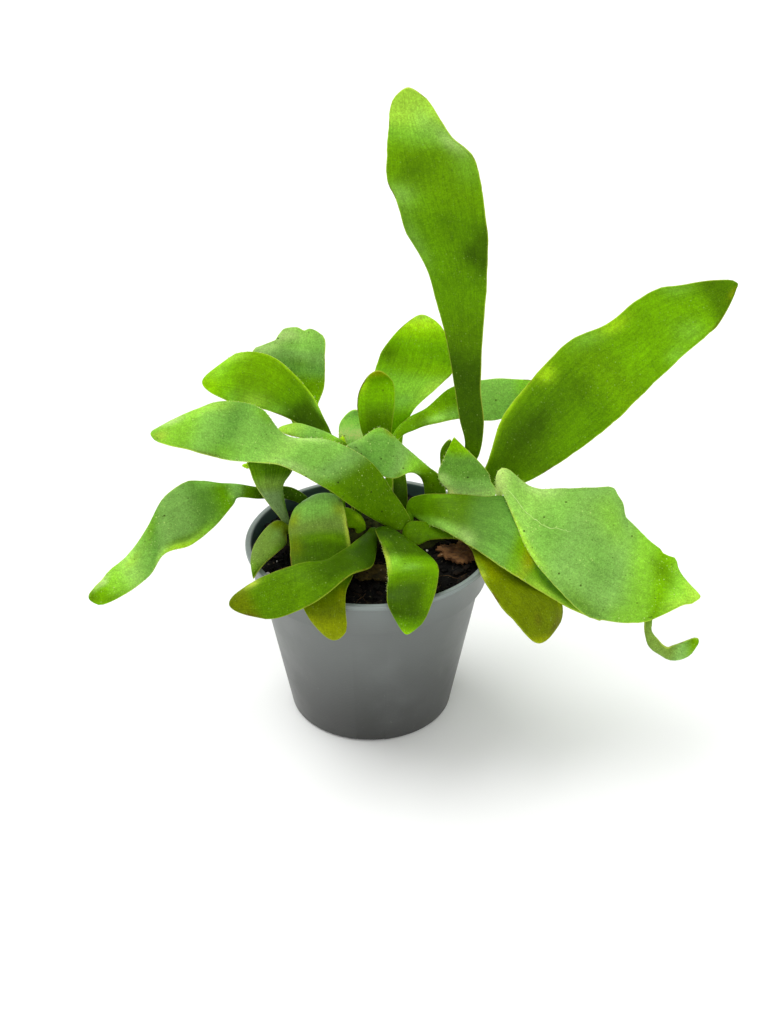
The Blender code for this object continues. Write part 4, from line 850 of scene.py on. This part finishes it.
def crumbly_material(name):
    dark, light, scale, grains = CRUMBLY_FINISHES[name]
    made, tree, skin = new_material(name)
    look = node(tree, "ShaderNodeGroup", {
        "Place": own_place(tree), "Dark": dark, "Light": light, "Scale": scale, "Grains": grains,
    }, node_tree=CRUMBLY_SURFACE)
    covered(tree, skin, *look.outputs, CRUMBLY_RELIEF)
    skin.inputs["Specular IOR Level"].default_value = CRUMBLY_SPECULAR
    return made


def pot_material():
    """Grey moulded plastic with turning lines, in metres: darker downward and paler at the band by painted
    shade and light, with a painted highlight on its paler, grooved lip, painted shade in the grooves and
    painted shade inside the rim.
    """
    made, tree, skin = new_material("grey nursery pot")
    place = own_place(tree)
    height = node(tree, "ShaderNodeSeparateXYZ", {"Vector": place}).outputs["Z"]
    flecks = cloud(tree, place, scale=900.0, detail=5.0, roughness=0.7)
    blotches = cloud(tree, place, scale=60.0, detail=4.0)
    # The lip, which gets a painted highlight
    lip = eased(tree, height, 0.0465, 0.0470)
    grooves = eased(tree, bands(tree, place, scale=780.0, distortion=0.3), 0.35, 0.1, 0.0, 0.45)
    flat = node(tree, "ShaderNodeVectorMath", {0: place, 1: (1.0, 1.0, 0.0)}, operation="MULTIPLY").outputs[0]
    from_axis = node(tree, "ShaderNodeVectorMath", {0: flat}, operation="LENGTH").outputs["Value"]
    # The inside of the rim above the mix, which gets painted shade
    inside = product(tree, eased(tree, from_axis, 0.02985, 0.02965), eased(tree, height, 0.0440, 0.0442))
    colour = POT_FOOT_SHADE_GREY
    for share, grey in (
            # Painted shade, darkening the wall towards the foot
            (eased(tree, height, 0.002, 0.040), POT_WALL_GREY),
            # Painted light, paling the band
            (eased(tree, height, 0.0385, 0.0465), POT_BAND_LIT_GREY),
            # A painted highlight on the lip
            (lip, POT_LIP_HIGHLIGHT_GREY),
            # Painted shade in the lip's grooves
            (product(tree, lip, grooves), POT_GROOVE_SHADE_GREY),
            # Painted shade inside the rim
            (inside, POT_INSIDE_SHADE_GREY),
            (eased(tree, blotches, 0.45, 0.8, 0.0, 0.12), POT_BLOTCH_GREY),
            (eased(tree, flecks, 0.64, 0.78, 0.0, 0.3), POT_FLECK_GREY)):
        colour = mixed(tree, share, colour, grey)
    rings = bands(tree, place, scale=560.0, distortion=0.6)
    relief = total(tree, product(tree, rings, 0.12), product(tree, flecks, 0.5))
    covered(tree, skin, colour, eased(tree, blotches, 0.3, 0.7, 0.34, 0.48), relief, POT_RELIEF)
    return made


def floor_material():
    made, tree, skin = new_material("pale studio floor")
    soft = cloud(tree, own_place(tree), scale=3.0, detail=2.0)
    covered(tree, skin, mixed(tree, soft, paint(243, 244, 243), paint(247, 248, 247)),
            eased(tree, soft, 0.3, 0.7, 0.85, 0.9))
    return made


# Meshes

def shaded(mesh):
    """Smooth shading, apart from sharp edges."""
    mesh.shade_smooth()
    mesh.set_sharp_from_angle(angle=math.radians(SHARP_DEGREES))


def finished(name, bm, surface=None, place=(0.0, 0.0, 0.0), outward=False):
    """Turns a millimetre bmesh into a named piece in metres."""
    if outward:
        bmesh.ops.recalc_face_normals(bm, faces=bm.faces)
        if bm.calc_volume(signed=True) < 0:
            bmesh.ops.reverse_faces(bm, faces=bm.faces)
    bmesh.ops.translate(bm, vec=Vector(place), verts=bm.verts)
    bmesh.ops.scale(bm, vec=Vector((METRES_PER_MM,) * 3), verts=bm.verts)
    mesh = bpy.data.meshes.new(name)
    bm.to_mesh(mesh)
    bm.free()
    shaded(mesh)
    piece = bpy.data.objects.new(name, mesh)
    bpy.context.scene.collection.objects.link(piece)
    if surface:
        mesh.materials.append(surface)
    return piece


def cut(piece, cutters):
    """Takes the cutters out of a piece and removes them."""
    for cutter in cutters:
        step = piece.modifiers.new("cut", "BOOLEAN")
        step.operation, step.solver, step.object = "DIFFERENCE", "EXACT", cutter
    depsgraph = bpy.context.evaluated_depsgraph_get()
    mesh = bpy.data.meshes.new_from_object(piece.evaluated_get(depsgraph))
    piece.modifiers.clear()
    piece.data = mesh
    mesh.name = piece.name
    shaded(mesh)
    for cutter in cutters:
        bpy.data.objects.remove(cutter, do_unlink=True)


def placed(piece, slot, *nodes):
    """Every piece rides on the one body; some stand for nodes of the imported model."""
    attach(piece, "root")
    if nodes:
        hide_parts(*nodes)
    return piece


def joined(bm, other):
    """Adds one bmesh to another, with its attributes, and lets it go."""
    mesh = bpy.data.meshes.new("part")
    other.to_mesh(mesh)
    other.free()
    bm.from_mesh(mesh)
    bpy.data.meshes.remove(mesh)


def scattered(shapes, name, finish, slot):
    """Joins many small shapes, each a bmesh in its own place, into one piece."""
    whole = bmesh.new()
    for shape in shapes:
        joined(whole, shape)
    return placed(finished(name, whole, crumbly_material(finish)), slot)


def double_grid(bm, across, along):
    """A flat grid in two layers, closed round its edges: the corners of its lower and of its upper face."""
    bmesh.ops.create_grid(bm, x_segments=across, y_segments=along, size=1)
    lower = list(bm.verts)
    raised = bmesh.ops.extrude_face_region(bm, geom=bm.faces[:], use_keep_orig=True)["geom"]
    return lower, [item for item in raised if isinstance(item, bmesh.types.BMVert)]


def spike(foot, direction, length, radii, sides=3, flatness=1.0):
    """A short, pointed hair or scale from its foot."""
    turn = Vector((0, 0, 1)).rotation_difference(direction.normalized()).to_matrix().to_4x4()
    bm = bmesh.new()
    bmesh.ops.create_cone(bm, cap_ends=True, segments=sides, radius1=radii[0], radius2=radii[1], depth=length,
                          matrix=Matrix.Translation((0, 0, length / 2)))
    bmesh.ops.scale(bm, vec=Vector((1, flatness, 1)), verts=bm.verts)
    bmesh.ops.transform(bm, verts=bm.verts, matrix=Matrix.Translation(foot) @ turn)
    return bm


def thread(spots, thickness):
    """A thin round strand through the spots, finest at both ends."""
    line = bpy.data.curves.new("thread", "CURVE")
    line.dimensions = "3D"
    line.bevel_depth, line.bevel_resolution, line.use_fill_caps = thickness / 2, 0, True
    strand = line.splines.new("POLY")
    strand.points.add(len(spots) - 1)
    for index, (point, spot) in enumerate(zip(strand.points, spots)):
        point.co = (*spot, 1)
        point.radius = THREAD_END + (1 - THREAD_END) * math.sin(math.pi * index / (len(spots) - 1))
    holder = bpy.data.objects.new("thread", line)
    mesh = bpy.data.meshes.new_from_object(holder)
    bm = bmesh.new()
    bm.from_mesh(mesh)
    bpy.data.objects.remove(holder)
    bpy.data.curves.remove(line)
    bpy.data.meshes.remove(mesh)
    return bm


# Pot

def wall_radius(z):
    """Outside radius of the tapering wall."""
    return BASE_RADIUS + (WALL_TOP_RADIUS - BASE_RADIUS) * z / BAND_BOTTOM


def band_inside(z):
    """Inside radius of the rim band."""
    up = (z - BAND_BOTTOM) / (POT_HEIGHT - LIP_HEIGHT - BAND_BOTTOM)
    return BAND_BOTTOM_RADIUS + (BAND_TOP_RADIUS - BAND_BOTTOM_RADIUS) * up - WALL


def turned(profile):
    """Spins a profile of (radius, z) points about the Z axis into a closed solid."""
    bm = bmesh.new()
    points = [bm.verts.new((radius, 0, z)) for radius, z in profile]
    edges = [bm.edges.new(pair) for pair in zip(points, points[1:])]
    bmesh.ops.spin(bm, geom=points + edges, cent=(0, 0, 0), axis=(0, 0, 1), angle=math.tau, steps=POT_SIDES,
                   use_merge=True)
    bmesh.ops.remove_doubles(bm, verts=bm.verts, dist=0.001)
    bmesh.ops.recalc_face_normals(bm, faces=bm.faces)
    return bm


def around(index, count):
    """A turn about the pot's axis to one of a ring of places."""
    return Matrix.Rotation(math.tau * index / count, 4, "Z")


def make_pot():
    lip_inside = RIM_RADIUS - RIM_LIP
    lip_bottom = POT_HEIGHT - LIP_HEIGHT
    step = BAND_BOTTOM + STEP_INSIDE
    # From the middle of the base up the outside, round the grooved lip and down the inside
    bm = turned((
        (0, 0), (BASE_RADIUS - BASE_CHAMFER, 0), (BASE_RADIUS, BASE_CHAMFER_RISE),
        (wall_radius(BAND_BOTTOM), BAND_BOTTOM), (BAND_BOTTOM_RADIUS, BAND_BOTTOM),
        (BAND_TOP_RADIUS, lip_bottom), (RIM_RADIUS - LIP_FOOT_INSET, lip_bottom),
        (RIM_RADIUS, lip_bottom + LIP_FOOT_RISE), (RIM_RADIUS - LIP_GROOVE, lip_bottom + LIP_GROOVE_RISE),
        (RIM_RADIUS, POT_HEIGHT - LIP_SHOULDER),
        (RIM_RADIUS - LIP_CORNER, POT_HEIGHT), (lip_inside + LIP_CORNER, POT_HEIGHT),
        (lip_inside, POT_HEIGHT - LIP_CORNER), (band_inside(lip_bottom), lip_bottom),
        (band_inside(step), step), (wall_radius(BAND_BOTTOM) - WALL, BAND_BOTTOM),
        (wall_radius(FLOOR) - WALL, FLOOR), (0, FLOOR),
    ))
    corners = [edge for edge in bm.edges if edge.calc_face_angle(0) > math.radians(CORNERS_FROM_DEGREES)]
    bmesh.ops.bevel(bm, geom=corners, offset=CORNER_ROUNDING, offset_type="OFFSET", segments=2,
                    affect="EDGES", profile=0.5, material=-1)
    pot = finished("nursery_pot", bm, pot_material())
    cutters = []
    for index in range(DRAIN_HOLES):
        bm = bmesh.new()
        bmesh.ops.create_cone(
            bm, cap_ends=True, segments=DRAIN_SIDES, radius1=DRAIN_RADIUS, radius2=DRAIN_RADIUS,
            depth=3 * FLOOR,
            matrix=around(index + 0.5, DRAIN_HOLES) @ Matrix.Translation((DRAIN_RING, 0, FLOOR / 2)))
        cutters.append(finished(f"drain cutter {index}", bm))
    size = Matrix.Diagonal((NOTCH_WIDTH, 2 * NOTCH_DEPTH, 2 * NOTCH_HEIGHT, 1))
    for index in range(FOOT_NOTCHES):
        bm = bmesh.new()
        bmesh.ops.create_cube(bm, size=1, matrix=around(index, FOOT_NOTCHES)
                              @ Matrix.Translation((0, -BASE_RADIUS, 0)) @ size)
        cutters.append(finished(f"notch cutter {index}", bm))
    cut(pot, cutters)
    placed(pot, "pot", "pot")


# Potting mix

def soil_height(x, y):
    """Height of the potting mix, with the low heaps that watering leaves."""
    heaps = 0.35 * math.sin(0.45 * x + 1.0) * math.cos(0.38 * y) + 0.2 * math.sin(0.9 * x - 0.7 * y)
    return SOIL_TOP + heaps


def crumbly_height(x, y):
    """The potting mix's height with its crumbs, lumps and hollows."""
    spot = Vector((x, y, 0))
    lumps = 0.55 * noise.noise(spot * 0.45) + 0.4 * noise.noise(spot * 1.3) + 0.2 * noise.noise(spot * 3.1)
    return soil_height(x, y) + lumps


def make_soil():
    reach = band_inside(SOIL_TOP) - SOIL_CLEARANCE
    step = BAND_BOTTOM + STEP_INSIDE
    bm = turned([(reach * index / SOIL_RINGS, SOIL_TOP) for index in range(SOIL_RINGS + 1)] + [
        (band_inside(step) - SOIL_CLEARANCE, step),
        (wall_radius(BAND_BOTTOM) - WALL - SOIL_CLEARANCE, BAND_BOTTOM),
        (wall_radius(FLOOR) - WALL - SOIL_CLEARANCE, FLOOR + SOIL_LIFT),
        (0, FLOOR + SOIL_LIFT),
    ])
    for corner in bm.verts:
        if abs(corner.co.z - SOIL_TOP) < 0.001:
            corner.co.z = crumbly_height(corner.co.x, corner.co.y)
    placed(finished("potting_mix", bm, crumbly_material("potting mix")), "soil", "soil")


def crumb(spot, size, flatness, detail, chance):
    """A small lump of its own shape, turned and tilted by chance."""
    turn = Matrix.Rotation(chance.random() * math.tau, 4, "Z")
    tilt = Matrix.Rotation(chance.uniform(-0.5, 0.5), 4, "X")
    shape = Matrix.Diagonal((size, size * chance.uniform(0.45, 0.9), size * flatness, 1))
    offset = Vector([chance.random() * 50 for _ in range(3)])
    bm = bmesh.new()
    bmesh.ops.create_icosphere(bm, subdivisions=detail, radius=1.0)
    for corner in bm.verts:
        corner.co *= 1 + 0.45 * noise.noise(corner.co * 1.6 + offset)
    bmesh.ops.transform(bm, matrix=Matrix.Translation(spot) @ turn @ tilt @ shape, verts=bm.verts)
    return bm


def soil_spot(chance):
    """A spot on the potting mix, each as likely as any other."""
    reach = (band_inside(SOIL_TOP) - SOIL_CLEARANCE - BITS_MARGIN) * math.sqrt(chance.random())
    angle = chance.random() * math.tau
    return reach * math.cos(angle), reach * math.sin(angle)


def make_soil_bits():
    """Crumbs, bark chips and white grit on the potting mix."""
    chance = random.Random(11)
    for name, (finish, count, smallest, largest, flatness, detail) in SOIL_BITS.items():
        bits = []
        for _ in range(count):
            x, y = soil_spot(chance)
            size = chance.uniform(smallest, largest)
            spot = Vector((x, y, crumbly_height(x, y) + size * flatness * 0.35))
            bits.append(crumb(spot, size, flatness, detail, chance))
        scattered(bits, name, finish, "soil")


def make_fibres():
    """Coir fibres lying on the potting mix."""
    chance = random.Random(67)
    fibres = []
    for _ in range(FIBRES):
        x, y = soil_spot(chance)
        heading, length = chance.random() * math.tau, chance.uniform(*FIBRE_LENGTHS)
        spots = []
        for _ in range(FIBRE_JOINTS + 1):
            spots.append(Vector((x, y, crumbly_height(x, y) + chance.uniform(*FIBRE_LIFTS))))
            heading += chance.uniform(-FIBRE_BEND, FIBRE_BEND)
            x += math.cos(heading) * length / FIBRE_JOINTS
            y += math.sin(heading) * length / FIBRE_JOINTS
            if math.hypot(x, y) > band_inside(SOIL_TOP) - FIBRES_MARGIN:
                break
        if len(spots) > 2:
            fibres.append(thread(spots, chance.uniform(*FIBRE_WIDTHS)))
    scattered(fibres, "coir_fibres", "coir fibre", "soil")


# Rhizome

def stretched(unit, radii):
    """A point of a round ball on a ball with three radii."""
    return Vector([place * radius for place, radius in zip(unit, radii)])


def make_rhizome():
    """Three bulging lumps under papery scales that lean every way."""
    lumps = []
    for index, (middle, radii) in enumerate(RHIZOME_LUMPS):
        bm = bmesh.new()
        bmesh.ops.create_icosphere(bm, subdivisions=5, radius=1)
        for corner in bm.verts:
            unit = corner.co.normalized()
            bulge = 1 + 0.05 * noise.noise(unit * 3 + Vector((index * 7, 0, 0)))
            bulge += 0.03 * noise.noise(unit * 9)
            corner.co = Vector(middle) + stretched(unit, radii) * bulge
        bmesh.ops.translate(bm, vec=Vector(PLANT_PLACE), verts=bm.verts)
        lumps.append(bm)
    piece = scattered(lumps, "rhizome_body", "rhizome skin", "rhizome")
    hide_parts("rhizome")
    chance = random.Random(23)
    scales = []
    for middle, radii in RHIZOME_LUMPS:
        for _ in range(SCALES_PER_LUMP):
            unit = Vector((chance.gauss(0, 1), chance.gauss(0, 1), abs(chance.gauss(0, 1)) * 0.9))
            spot = stretched(unit.normalized(), radii)
            outward = Vector([place / radius ** 2 for place, radius in zip(spot, radii)]).normalized()
            lean = outward * chance.uniform(0.3, 0.9)
            lean += Vector((chance.uniform(-1, 1), chance.uniform(-1, 1), 0.3))
            scales.append(spike(Vector(middle) + spot * 0.98 + Vector(PLANT_PLACE), lean,
                                chance.uniform(*SCALE_LENGTHS), (SCALE_RADIUS, SCALE_TIP_RADIUS),
                                sides=5, flatness=SCALE_FLATNESS))
    scattered(scales, "rhizome_scales", "papery scales", "rhizome")


# Fronds

def part_between(value, start, end):
    """How far a value has come from start to end, from 0 to 1."""
    return min(max((value - start) / (end - start), 0), 1)


def nearness(along, across, reach, breadth):
    """1 at the middle of a patch, falling smoothly to 0 beyond its reach."""
    return math.exp(-(along / reach) ** 2 - (across / breadth) ** 2)


def edge_rows(frond):
    """The left and right edge at each row, foot first: the stalk's rows, then the blade's."""
    blade = [(Vector(row[:3]), Vector(row[3:])) for row in frond["blade"]]
    stalk = [Vector(point) for point in frond["stalk"]]
    across = (blade[0][1] - blade[0][0]).normalized()
    middles = stalk + [(blade[0][0] + blade[0][1]) / 2]
    rows = []
    for index, point in enumerate(stalk):
        ahead = (middles[index + 1] - middles[max(index - 1, 0)]).normalized()
        side = (across - ahead * across.dot(ahead)).normalized() * frond.get("breadth", STALK_BREADTH) / 2
        rows.append((point - side, point + side))
    return rows + blade


def smooth_between(before, start, end, after, part):
    """A Catmull-Rom curve from start to end, part of the way along."""
    return 0.5 * (2 * start + (end - before) * part + (2 * before - 5 * start + 4 * end - after) * part ** 2
                  + (3 * start - before - 3 * end + after) * part ** 3)


def section(rows, tip, place):
    """Middle, half breadth as a vector and closing factor at a place counted in rows from the foot."""
    middles = [(left + right) / 2 for left, right in rows]
    halves = [(right - left) / 2 for left, right in rows]
    last = len(rows) - 1
    if place > last:
        reach = math.sin((place - last) * math.pi / 2)
        taper = 2 * halves[last - 1].length / halves[last].length
        taper *= (tip - middles[last]).length / (tip - middles[last - 1]).length
        roundness = min(max(1 - taper, -0.8), 1)
        closing = math.sqrt((1 - reach) * (1 + roundness * reach))
        return middles[last] + (tip - middles[last]) * reach, halves[last], closing
    start = min(int(place), last - 1)
    picked = []
    for values, beyond in ((middles, tip), (halves, Vector((0, 0, 0)))):
        before = values[start - 1] if start else 2 * values[0] - values[1]
        after = values[start + 2] if start + 2 <= last else beyond
        picked.append(smooth_between(before, values[start], values[start + 1], after, place - start))
    return picked[0], picked[1], 1.0


def fine_places(rows, tip):
    """Places along a frond, about a millimetre apart, with more to round off the tip."""
    end = len(rows) - 1
    middles = [section(rows, tip, end * index / LENGTH_SAMPLES)[0] for index in range(LENGTH_SAMPLES + 1)]
    lengths = [0.0]
    for here, there in zip(middles, middles[1:]):
        lengths.append(lengths[-1] + (there - here).length)
    count = max(6, round(lengths[-1] / FINE_SPACING))
    places, at = [], 0
    for index in range(count + 1):
        wanted = lengths[-1] * index / count
        while at < LENGTH_SAMPLES and lengths[at + 1] < wanted:
            at += 1
        reach = lengths[min(at + 1, LENGTH_SAMPLES)] - lengths[at]
        part = (wanted - lengths[at]) / reach if reach > 0 else 0
        places.append(min(end * (at + part) / LENGTH_SAMPLES, end))
    turns = [math.pi / 2 * step / TIP_STEPS for step in range(1, TIP_STEPS + 1)]
    return places + [end + math.sin(turn) * TIP_REACH for turn in turns]


def blended(colour, other, share):
    return tuple(a + (b - a) * share for a, b in zip(colour, other))


def tone_at(look, along, across):
    """The painted colour of a frond at a share of its length and a place across, painted light and shade
    included.
    """
    stops = look["tones"]
    colour = stops[-1][1]
    for (low, first), (high, second) in zip(stops, stops[1:]):
        if along <= high:
            part = part_between(along, low, high)
            colour = blended(first, second, part * part * (3 - 2 * part))
            break
    for centre, side, reach, breadth, patch, strength in look.get("patches", ()):
        colour = blended(colour, patch, strength * nearness(along - centre, across - side, reach, breadth))
    # Each frond's factor pales or darkens its paint to make up for the light that reaches it in this scene:
    # painted light
    return tuple(value * look.get("painted_light_factor", 1.0) for value in colour)


def nudged(spot, nudges):
    """A point moved by the small pushes near it, each given as (x, y, z, reach, by x, by y, by z)."""
    moved = spot.copy()
    for x, y, z, reach, *push in nudges:
        moved += Vector(push) * math.exp(-((spot - Vector((x, y, z))).length / reach) ** 2)
    return moved


def half_thickness(across, slimming, closing):
    """Half the thickness of a frond: fine at its edges and tip, and nearly round in its stalk."""
    middle_half = (BLADE_THICKNESS + (STALK_THICKNESS - BLADE_THICKNESS) * slimming) / 2
    edge_half = VISIBLE_EDGE / 2
    rounding = math.sqrt(max(1 - across ** 2, 0)) ** (0.6 + 0.4 * slimming)
    return edge_half + (middle_half - edge_half) * rounding * (0.35 + 0.65 * min(closing * 2, 1))


def edge_waver(length, across, seed):
    """How far an edge strays, slowly and quickly, at a length from the foot."""
    return sum(strength * noise.noise(Vector((length * pace, seed * step + (apart if across > 0 else 0), 0)))
               for strength, pace, step, apart in EDGE_WAVERS)


def fine_blade(frond, look, seed):
    """A fine plate bent into a frond, with its painted tone and its own lengthwise and crosswise places."""
    rows, tip = edge_rows(frond), Vector(frond["tip"])
    places = fine_places(rows, tip)
    widest = max((right - left).length for left, right in rows)
    frames, lengths = [], [0.0]
    for index, place in enumerate(places):
        middle, half, closing = section(rows, tip, place)
        ahead = section(rows, tip, min(place + SLOPE_STEP, len(rows)))[0]
        behind = section(rows, tip, max(place - SLOPE_STEP, 0))[0]
        upward = half.cross((ahead - behind).normalized()).normalized()
        if index:
            lengths.append(lengths[-1] + (middle - frames[-1][0]).length)
        frames.append((middle, half, closing, upward))
    bm = bmesh.new()
    tone = bm.verts.layers.float_color.new("leaf_tone_with_painted_light")
    across_layer, along_layer, edge_layer, face_layer = [
        bm.verts.layers.float.new(name) for name in ("leaf_across", "leaf_along", "from_edge", "leaf_face")]
    outline = []
    for corners, face in zip(double_grid(bm, FINE_STRIPS, len(places) - 1), (-1, 1)):
        for corner in corners:
            row = round((corner.co.y + 1) / 2 * (len(places) - 1))
            across = math.sin(corner.co.x * math.pi / 2)
            middle, half, closing, upward = frames[row]
            share = lengths[row] / lengths[-1]
            breadth = 2 * half.length
            spread = breadth / widest * closing
            slimming = part_between(breadth, BROAD_ENOUGH_TO_BE_THIN, STALK_BREADTH)
            blade_share = 1 - slimming
            wave = math.sin(RUFFLE_TURN_PER_ROW * places[row] + RUFFLE_OFFSET * across)
            flat_spot = middle + half * closing * across
            lift = frond["cup"] * (1 - across ** 2) * spread
            lift += frond["ruffle"] * abs(across) ** 3 * wave * spread
            lift += UNDULATION * blade_share * noise.noise(
                flat_spot * UNDULATION_PACE + Vector((seed, 0, 0)))
            lift += FINE_UNDULATION * blade_share * noise.noise(flat_spot * FINE_UNDULATION_PACE)
            for centre, side, reach, swell_breadth, height in look.get("swells", ()):
                lift += height * nearness(share - centre, across - side, reach, swell_breadth)
            waver = EDGE_WOBBLE * edge_waver(lengths[row], across, seed) * abs(across) ** 6 * blade_share
            spot = middle + half * closing * (1 + waver) * across
            spot += upward * (lift + face * half_thickness(across, slimming, closing))
            corner.co = nudged(spot, look.get("nudges", ()))
            # The painted tone holds painted light and shade along with the leaf's own colour
            corner[tone] = (*tone_at(look, share, across), 1)
            corner[across_layer] = across
            corner[along_layer] = lengths[row]
            corner[face_layer] = face if frond["stalk"] else 0
            if abs(across) > 0.999 or row == len(places) - 1:
                outline.append(corner.co.copy())
    tree = KDTree(len(outline))
    for index, point in enumerate(outline):
        tree.insert(point, index)
    tree.balance()
    for corner in bm.verts:
        corner[edge_layer] = tree.find(corner.co)[2]
    return bm


def make_fronds():
    """Every frond as a piece of its own, by its node's name."""
    surfaces = {finish: leaf_material(finish) for finish in LEAF_FINISHES}
    pieces = {}
    for index, (name, frond) in enumerate(FRONDS.items()):
        look, plain = LOOKS[name], name.replace("frond_", "")
        bm = fine_blade(frond, look, index * SEED_STEP)
        if "lobe" in frond:
            joined(bm, fine_blade(frond["lobe"], LOOKS[plain + " lobe"], FIRST_LOBE_SEED + index))
        surface = surfaces[look.get("finish", look["slot"])]
        piece = finished(plain + "_frond", bm, surface, PLANT_PLACE, outward=True)
        pieces[name] = placed(piece, look["slot"], name)
    return pieces


# Hairs and the scratch

def surface_finder(piece):
    """A function from a place along and across a frond's upper face to the spot there and the way outward."""
    mesh = piece.data
    along, across, face = ([item.value for item in mesh.attributes[name].data]
                           for name in ("leaf_along", "leaf_across", "leaf_face"))
    longest = max(length for length, side in zip(along, face) if side)
    tree = KDTree(len(mesh.vertices))
    for index, place in enumerate(zip(along, across, face)):
        tree.insert((place[0], place[1] * FINDER_ACROSS, place[2] * FINDER_FACE), index)
    tree.balance()

    def find(share, side):
        spot, outward, whole = Vector(), Vector(), 0.0
        wanted = (share * longest, side * FINDER_ACROSS, FINDER_FACE)
        for _, index, distance in tree.find_n(wanted, FINDER_CORNERS):
            weight = 1 / (distance + FINDER_SOFTNESS)
            spot += mesh.vertices[index].co * (weight / METRES_PER_MM)
            outward += mesh.vertices[index].normal * weight
            whole += weight
        return spot / whole, outward.normalized()

    return find


def make_hairs(pieces):
    """Star hairs along the edges of the fronds, and over the forked frond's neck."""
    chance = random.Random(41)
    hairs = []
    for name, start, end, left, right, count in HAIRY_PLACES:
        find = surface_finder(pieces[name])
        for _ in range(count):
            spot, outward = find(chance.uniform(start, end), chance.uniform(left, right))
            lean = outward * 0.8 + Vector([chance.uniform(-0.8, 0.8) for _ in range(3)])
            hairs.append(spike(spot, lean, chance.uniform(*STAR_HAIR_LENGTHS),
                               (STAR_HAIR_RADIUS, STAR_HAIR_RADIUS * HAIR_TIP)))
    scattered(hairs, "star_hairs", "star hairs", BLUE)


def make_scratch(pieces):
    """The long pale scratch on the forked frond."""
    find = surface_finder(pieces["frond_forked"])
    spots = []
    for start, end in zip(SCRATCH_PLACES, SCRATCH_PLACES[1:]):
        for step in range(SCRATCH_STEPS):
            spot, outward = find(*Vector(start).lerp(Vector(end), step / SCRATCH_STEPS))
            spots.append(spot + outward * SCRATCH_LIFT)
    scratch = finished("forked_scratch", thread(spots, SCRATCH_WIDTH), crumbly_material("pale scratch"))
    placed(scratch, BLUE)


def make_bud_fuzz():
    """Fine hairs all over the young bud."""
    chance = random.Random(5)
    frond = FRONDS["frond_bud"]
    rows, tip = edge_rows(frond), Vector(frond["tip"])
    hairs = []
    for _ in range(BUD_HAIRS):
        place = chance.uniform(1.1, len(rows) - 0.05)
        middle, half, closing = section(rows, tip, place)
        angle = chance.random() * math.tau
        outward = Vector((math.cos(angle), math.sin(angle), chance.uniform(0.1, 0.8))).normalized()
        foot = middle + Vector((outward.x, outward.y, 0)) * half.length * closing * 0.8
        hairs.append(spike(foot + Vector(PLANT_PLACE), outward, chance.uniform(*BUD_HAIR_LENGTHS),
                           (BUD_HAIR_RADIUS, BUD_HAIR_RADIUS * HAIR_TIP)))
    scattered(hairs, "bud_fuzz", "bud fuzz", BRIGHT)


# Scraps of dead leaf

def make_scrap(name):
    """A torn, curled and crinkled piece of leaf on the potting mix."""
    middle, half_length, half_breadth, degrees, curl = SCRAPS[name]
    turn = Matrix.Rotation(math.radians(degrees), 3, "Z")
    bm = bmesh.new()
    for corners, height in zip(double_grid(bm, *SCRAP_GRID), (0.0, SCRAP_THICKNESS)):
        for corner in corners:
            x, y = corner.co.x, corner.co.y
            torn = 1 + SCRAP_TEAR * math.sin(5 * x + 3 * y) - SCRAP_CORNER_ROUNDING * (x * y) ** 2
            ragged = noise.noise(Vector((x * 4, y * 4, degrees)))
            ragged += 0.6 * noise.noise(Vector((x * 11, y * 11, 3)))
            torn *= 1 + 0.35 * ragged * max(abs(x), abs(y)) ** 4
            spot = Vector((*middle, 0)) + turn @ Vector((x * half_breadth * torn, y * half_length * torn, 0))
            crinkle = 0.35 * noise.noise(Vector((spot.x * 0.8, spot.y * 0.8, 5)))
            crinkle += 0.12 * noise.noise(spot * 2.5)
            above = SCRAP_LIFT + curl * x ** 2 + height + crinkle
            corner.co = (spot.x, spot.y, soil_height(spot.x, spot.y) + above)
    plain = name.replace("scrap_", "")
    surface = crumbly_material(plain.replace("_", " "))
    placed(finished(plain + "_scrap", bm, surface, PLANT_PLACE, outward=True), plain, name)


# Studio

def soft_light(name, strength, softness, comes_from):
    """A far, very soft light."""
    lamp = bpy.data.lights.new(name, "SUN")
    lamp.energy = strength
    lamp.angle = math.radians(softness)
    holder = bpy.data.objects.new(name, lamp)
    holder.rotation_euler = (-Vector(comes_from)).to_track_quat("-Z", "Y").to_euler()
    bpy.context.scene.collection.objects.link(holder)


def make_studio():
    bm = bmesh.new()
    bmesh.ops.create_grid(bm, x_segments=1, y_segments=1, size=FLOOR_REACH)
    finished("studio_floor", bm, floor_material())
    world = bpy.data.worlds.new("studio")
    world.use_nodes = True
    sky = world.node_tree.nodes["Background"]
    sky.inputs["Color"].default_value = SKY_COLOUR
    sky.inputs["Strength"].default_value = SKY_STRENGTH
    bpy.context.scene.world = world
    for name, light in LIGHTS.items():
        soft_light(name, *light)
    bpy.context.scene.view_settings.view_transform = "Standard"


def make_camera():
    camera = bpy.data.cameras.new("camera")
    camera.lens = CAMERA_LENS
    camera.sensor_width = 36.0
    camera.sensor_fit = "AUTO"
    camera.clip_start = 0.01
    holder = bpy.data.objects.new("camera", camera)
    holder.location = CAMERA_PLACE
    holder.rotation_euler = (math.radians(CAMERA_TILT_DEGREES), 0, 0)
    bpy.context.scene.collection.objects.link(holder)
    bpy.context.scene.camera = holder


def main():
    make_camera()
    make_pot()
    make_soil()
    make_soil_bits()
    make_rhizome()
    pieces = make_fronds()
    make_hairs(pieces)
    make_scratch(pieces)
    make_fibres()
    for name in SCRAPS:
        make_scrap(name)
    make_bud_fuzz()
    make_studio()


main()
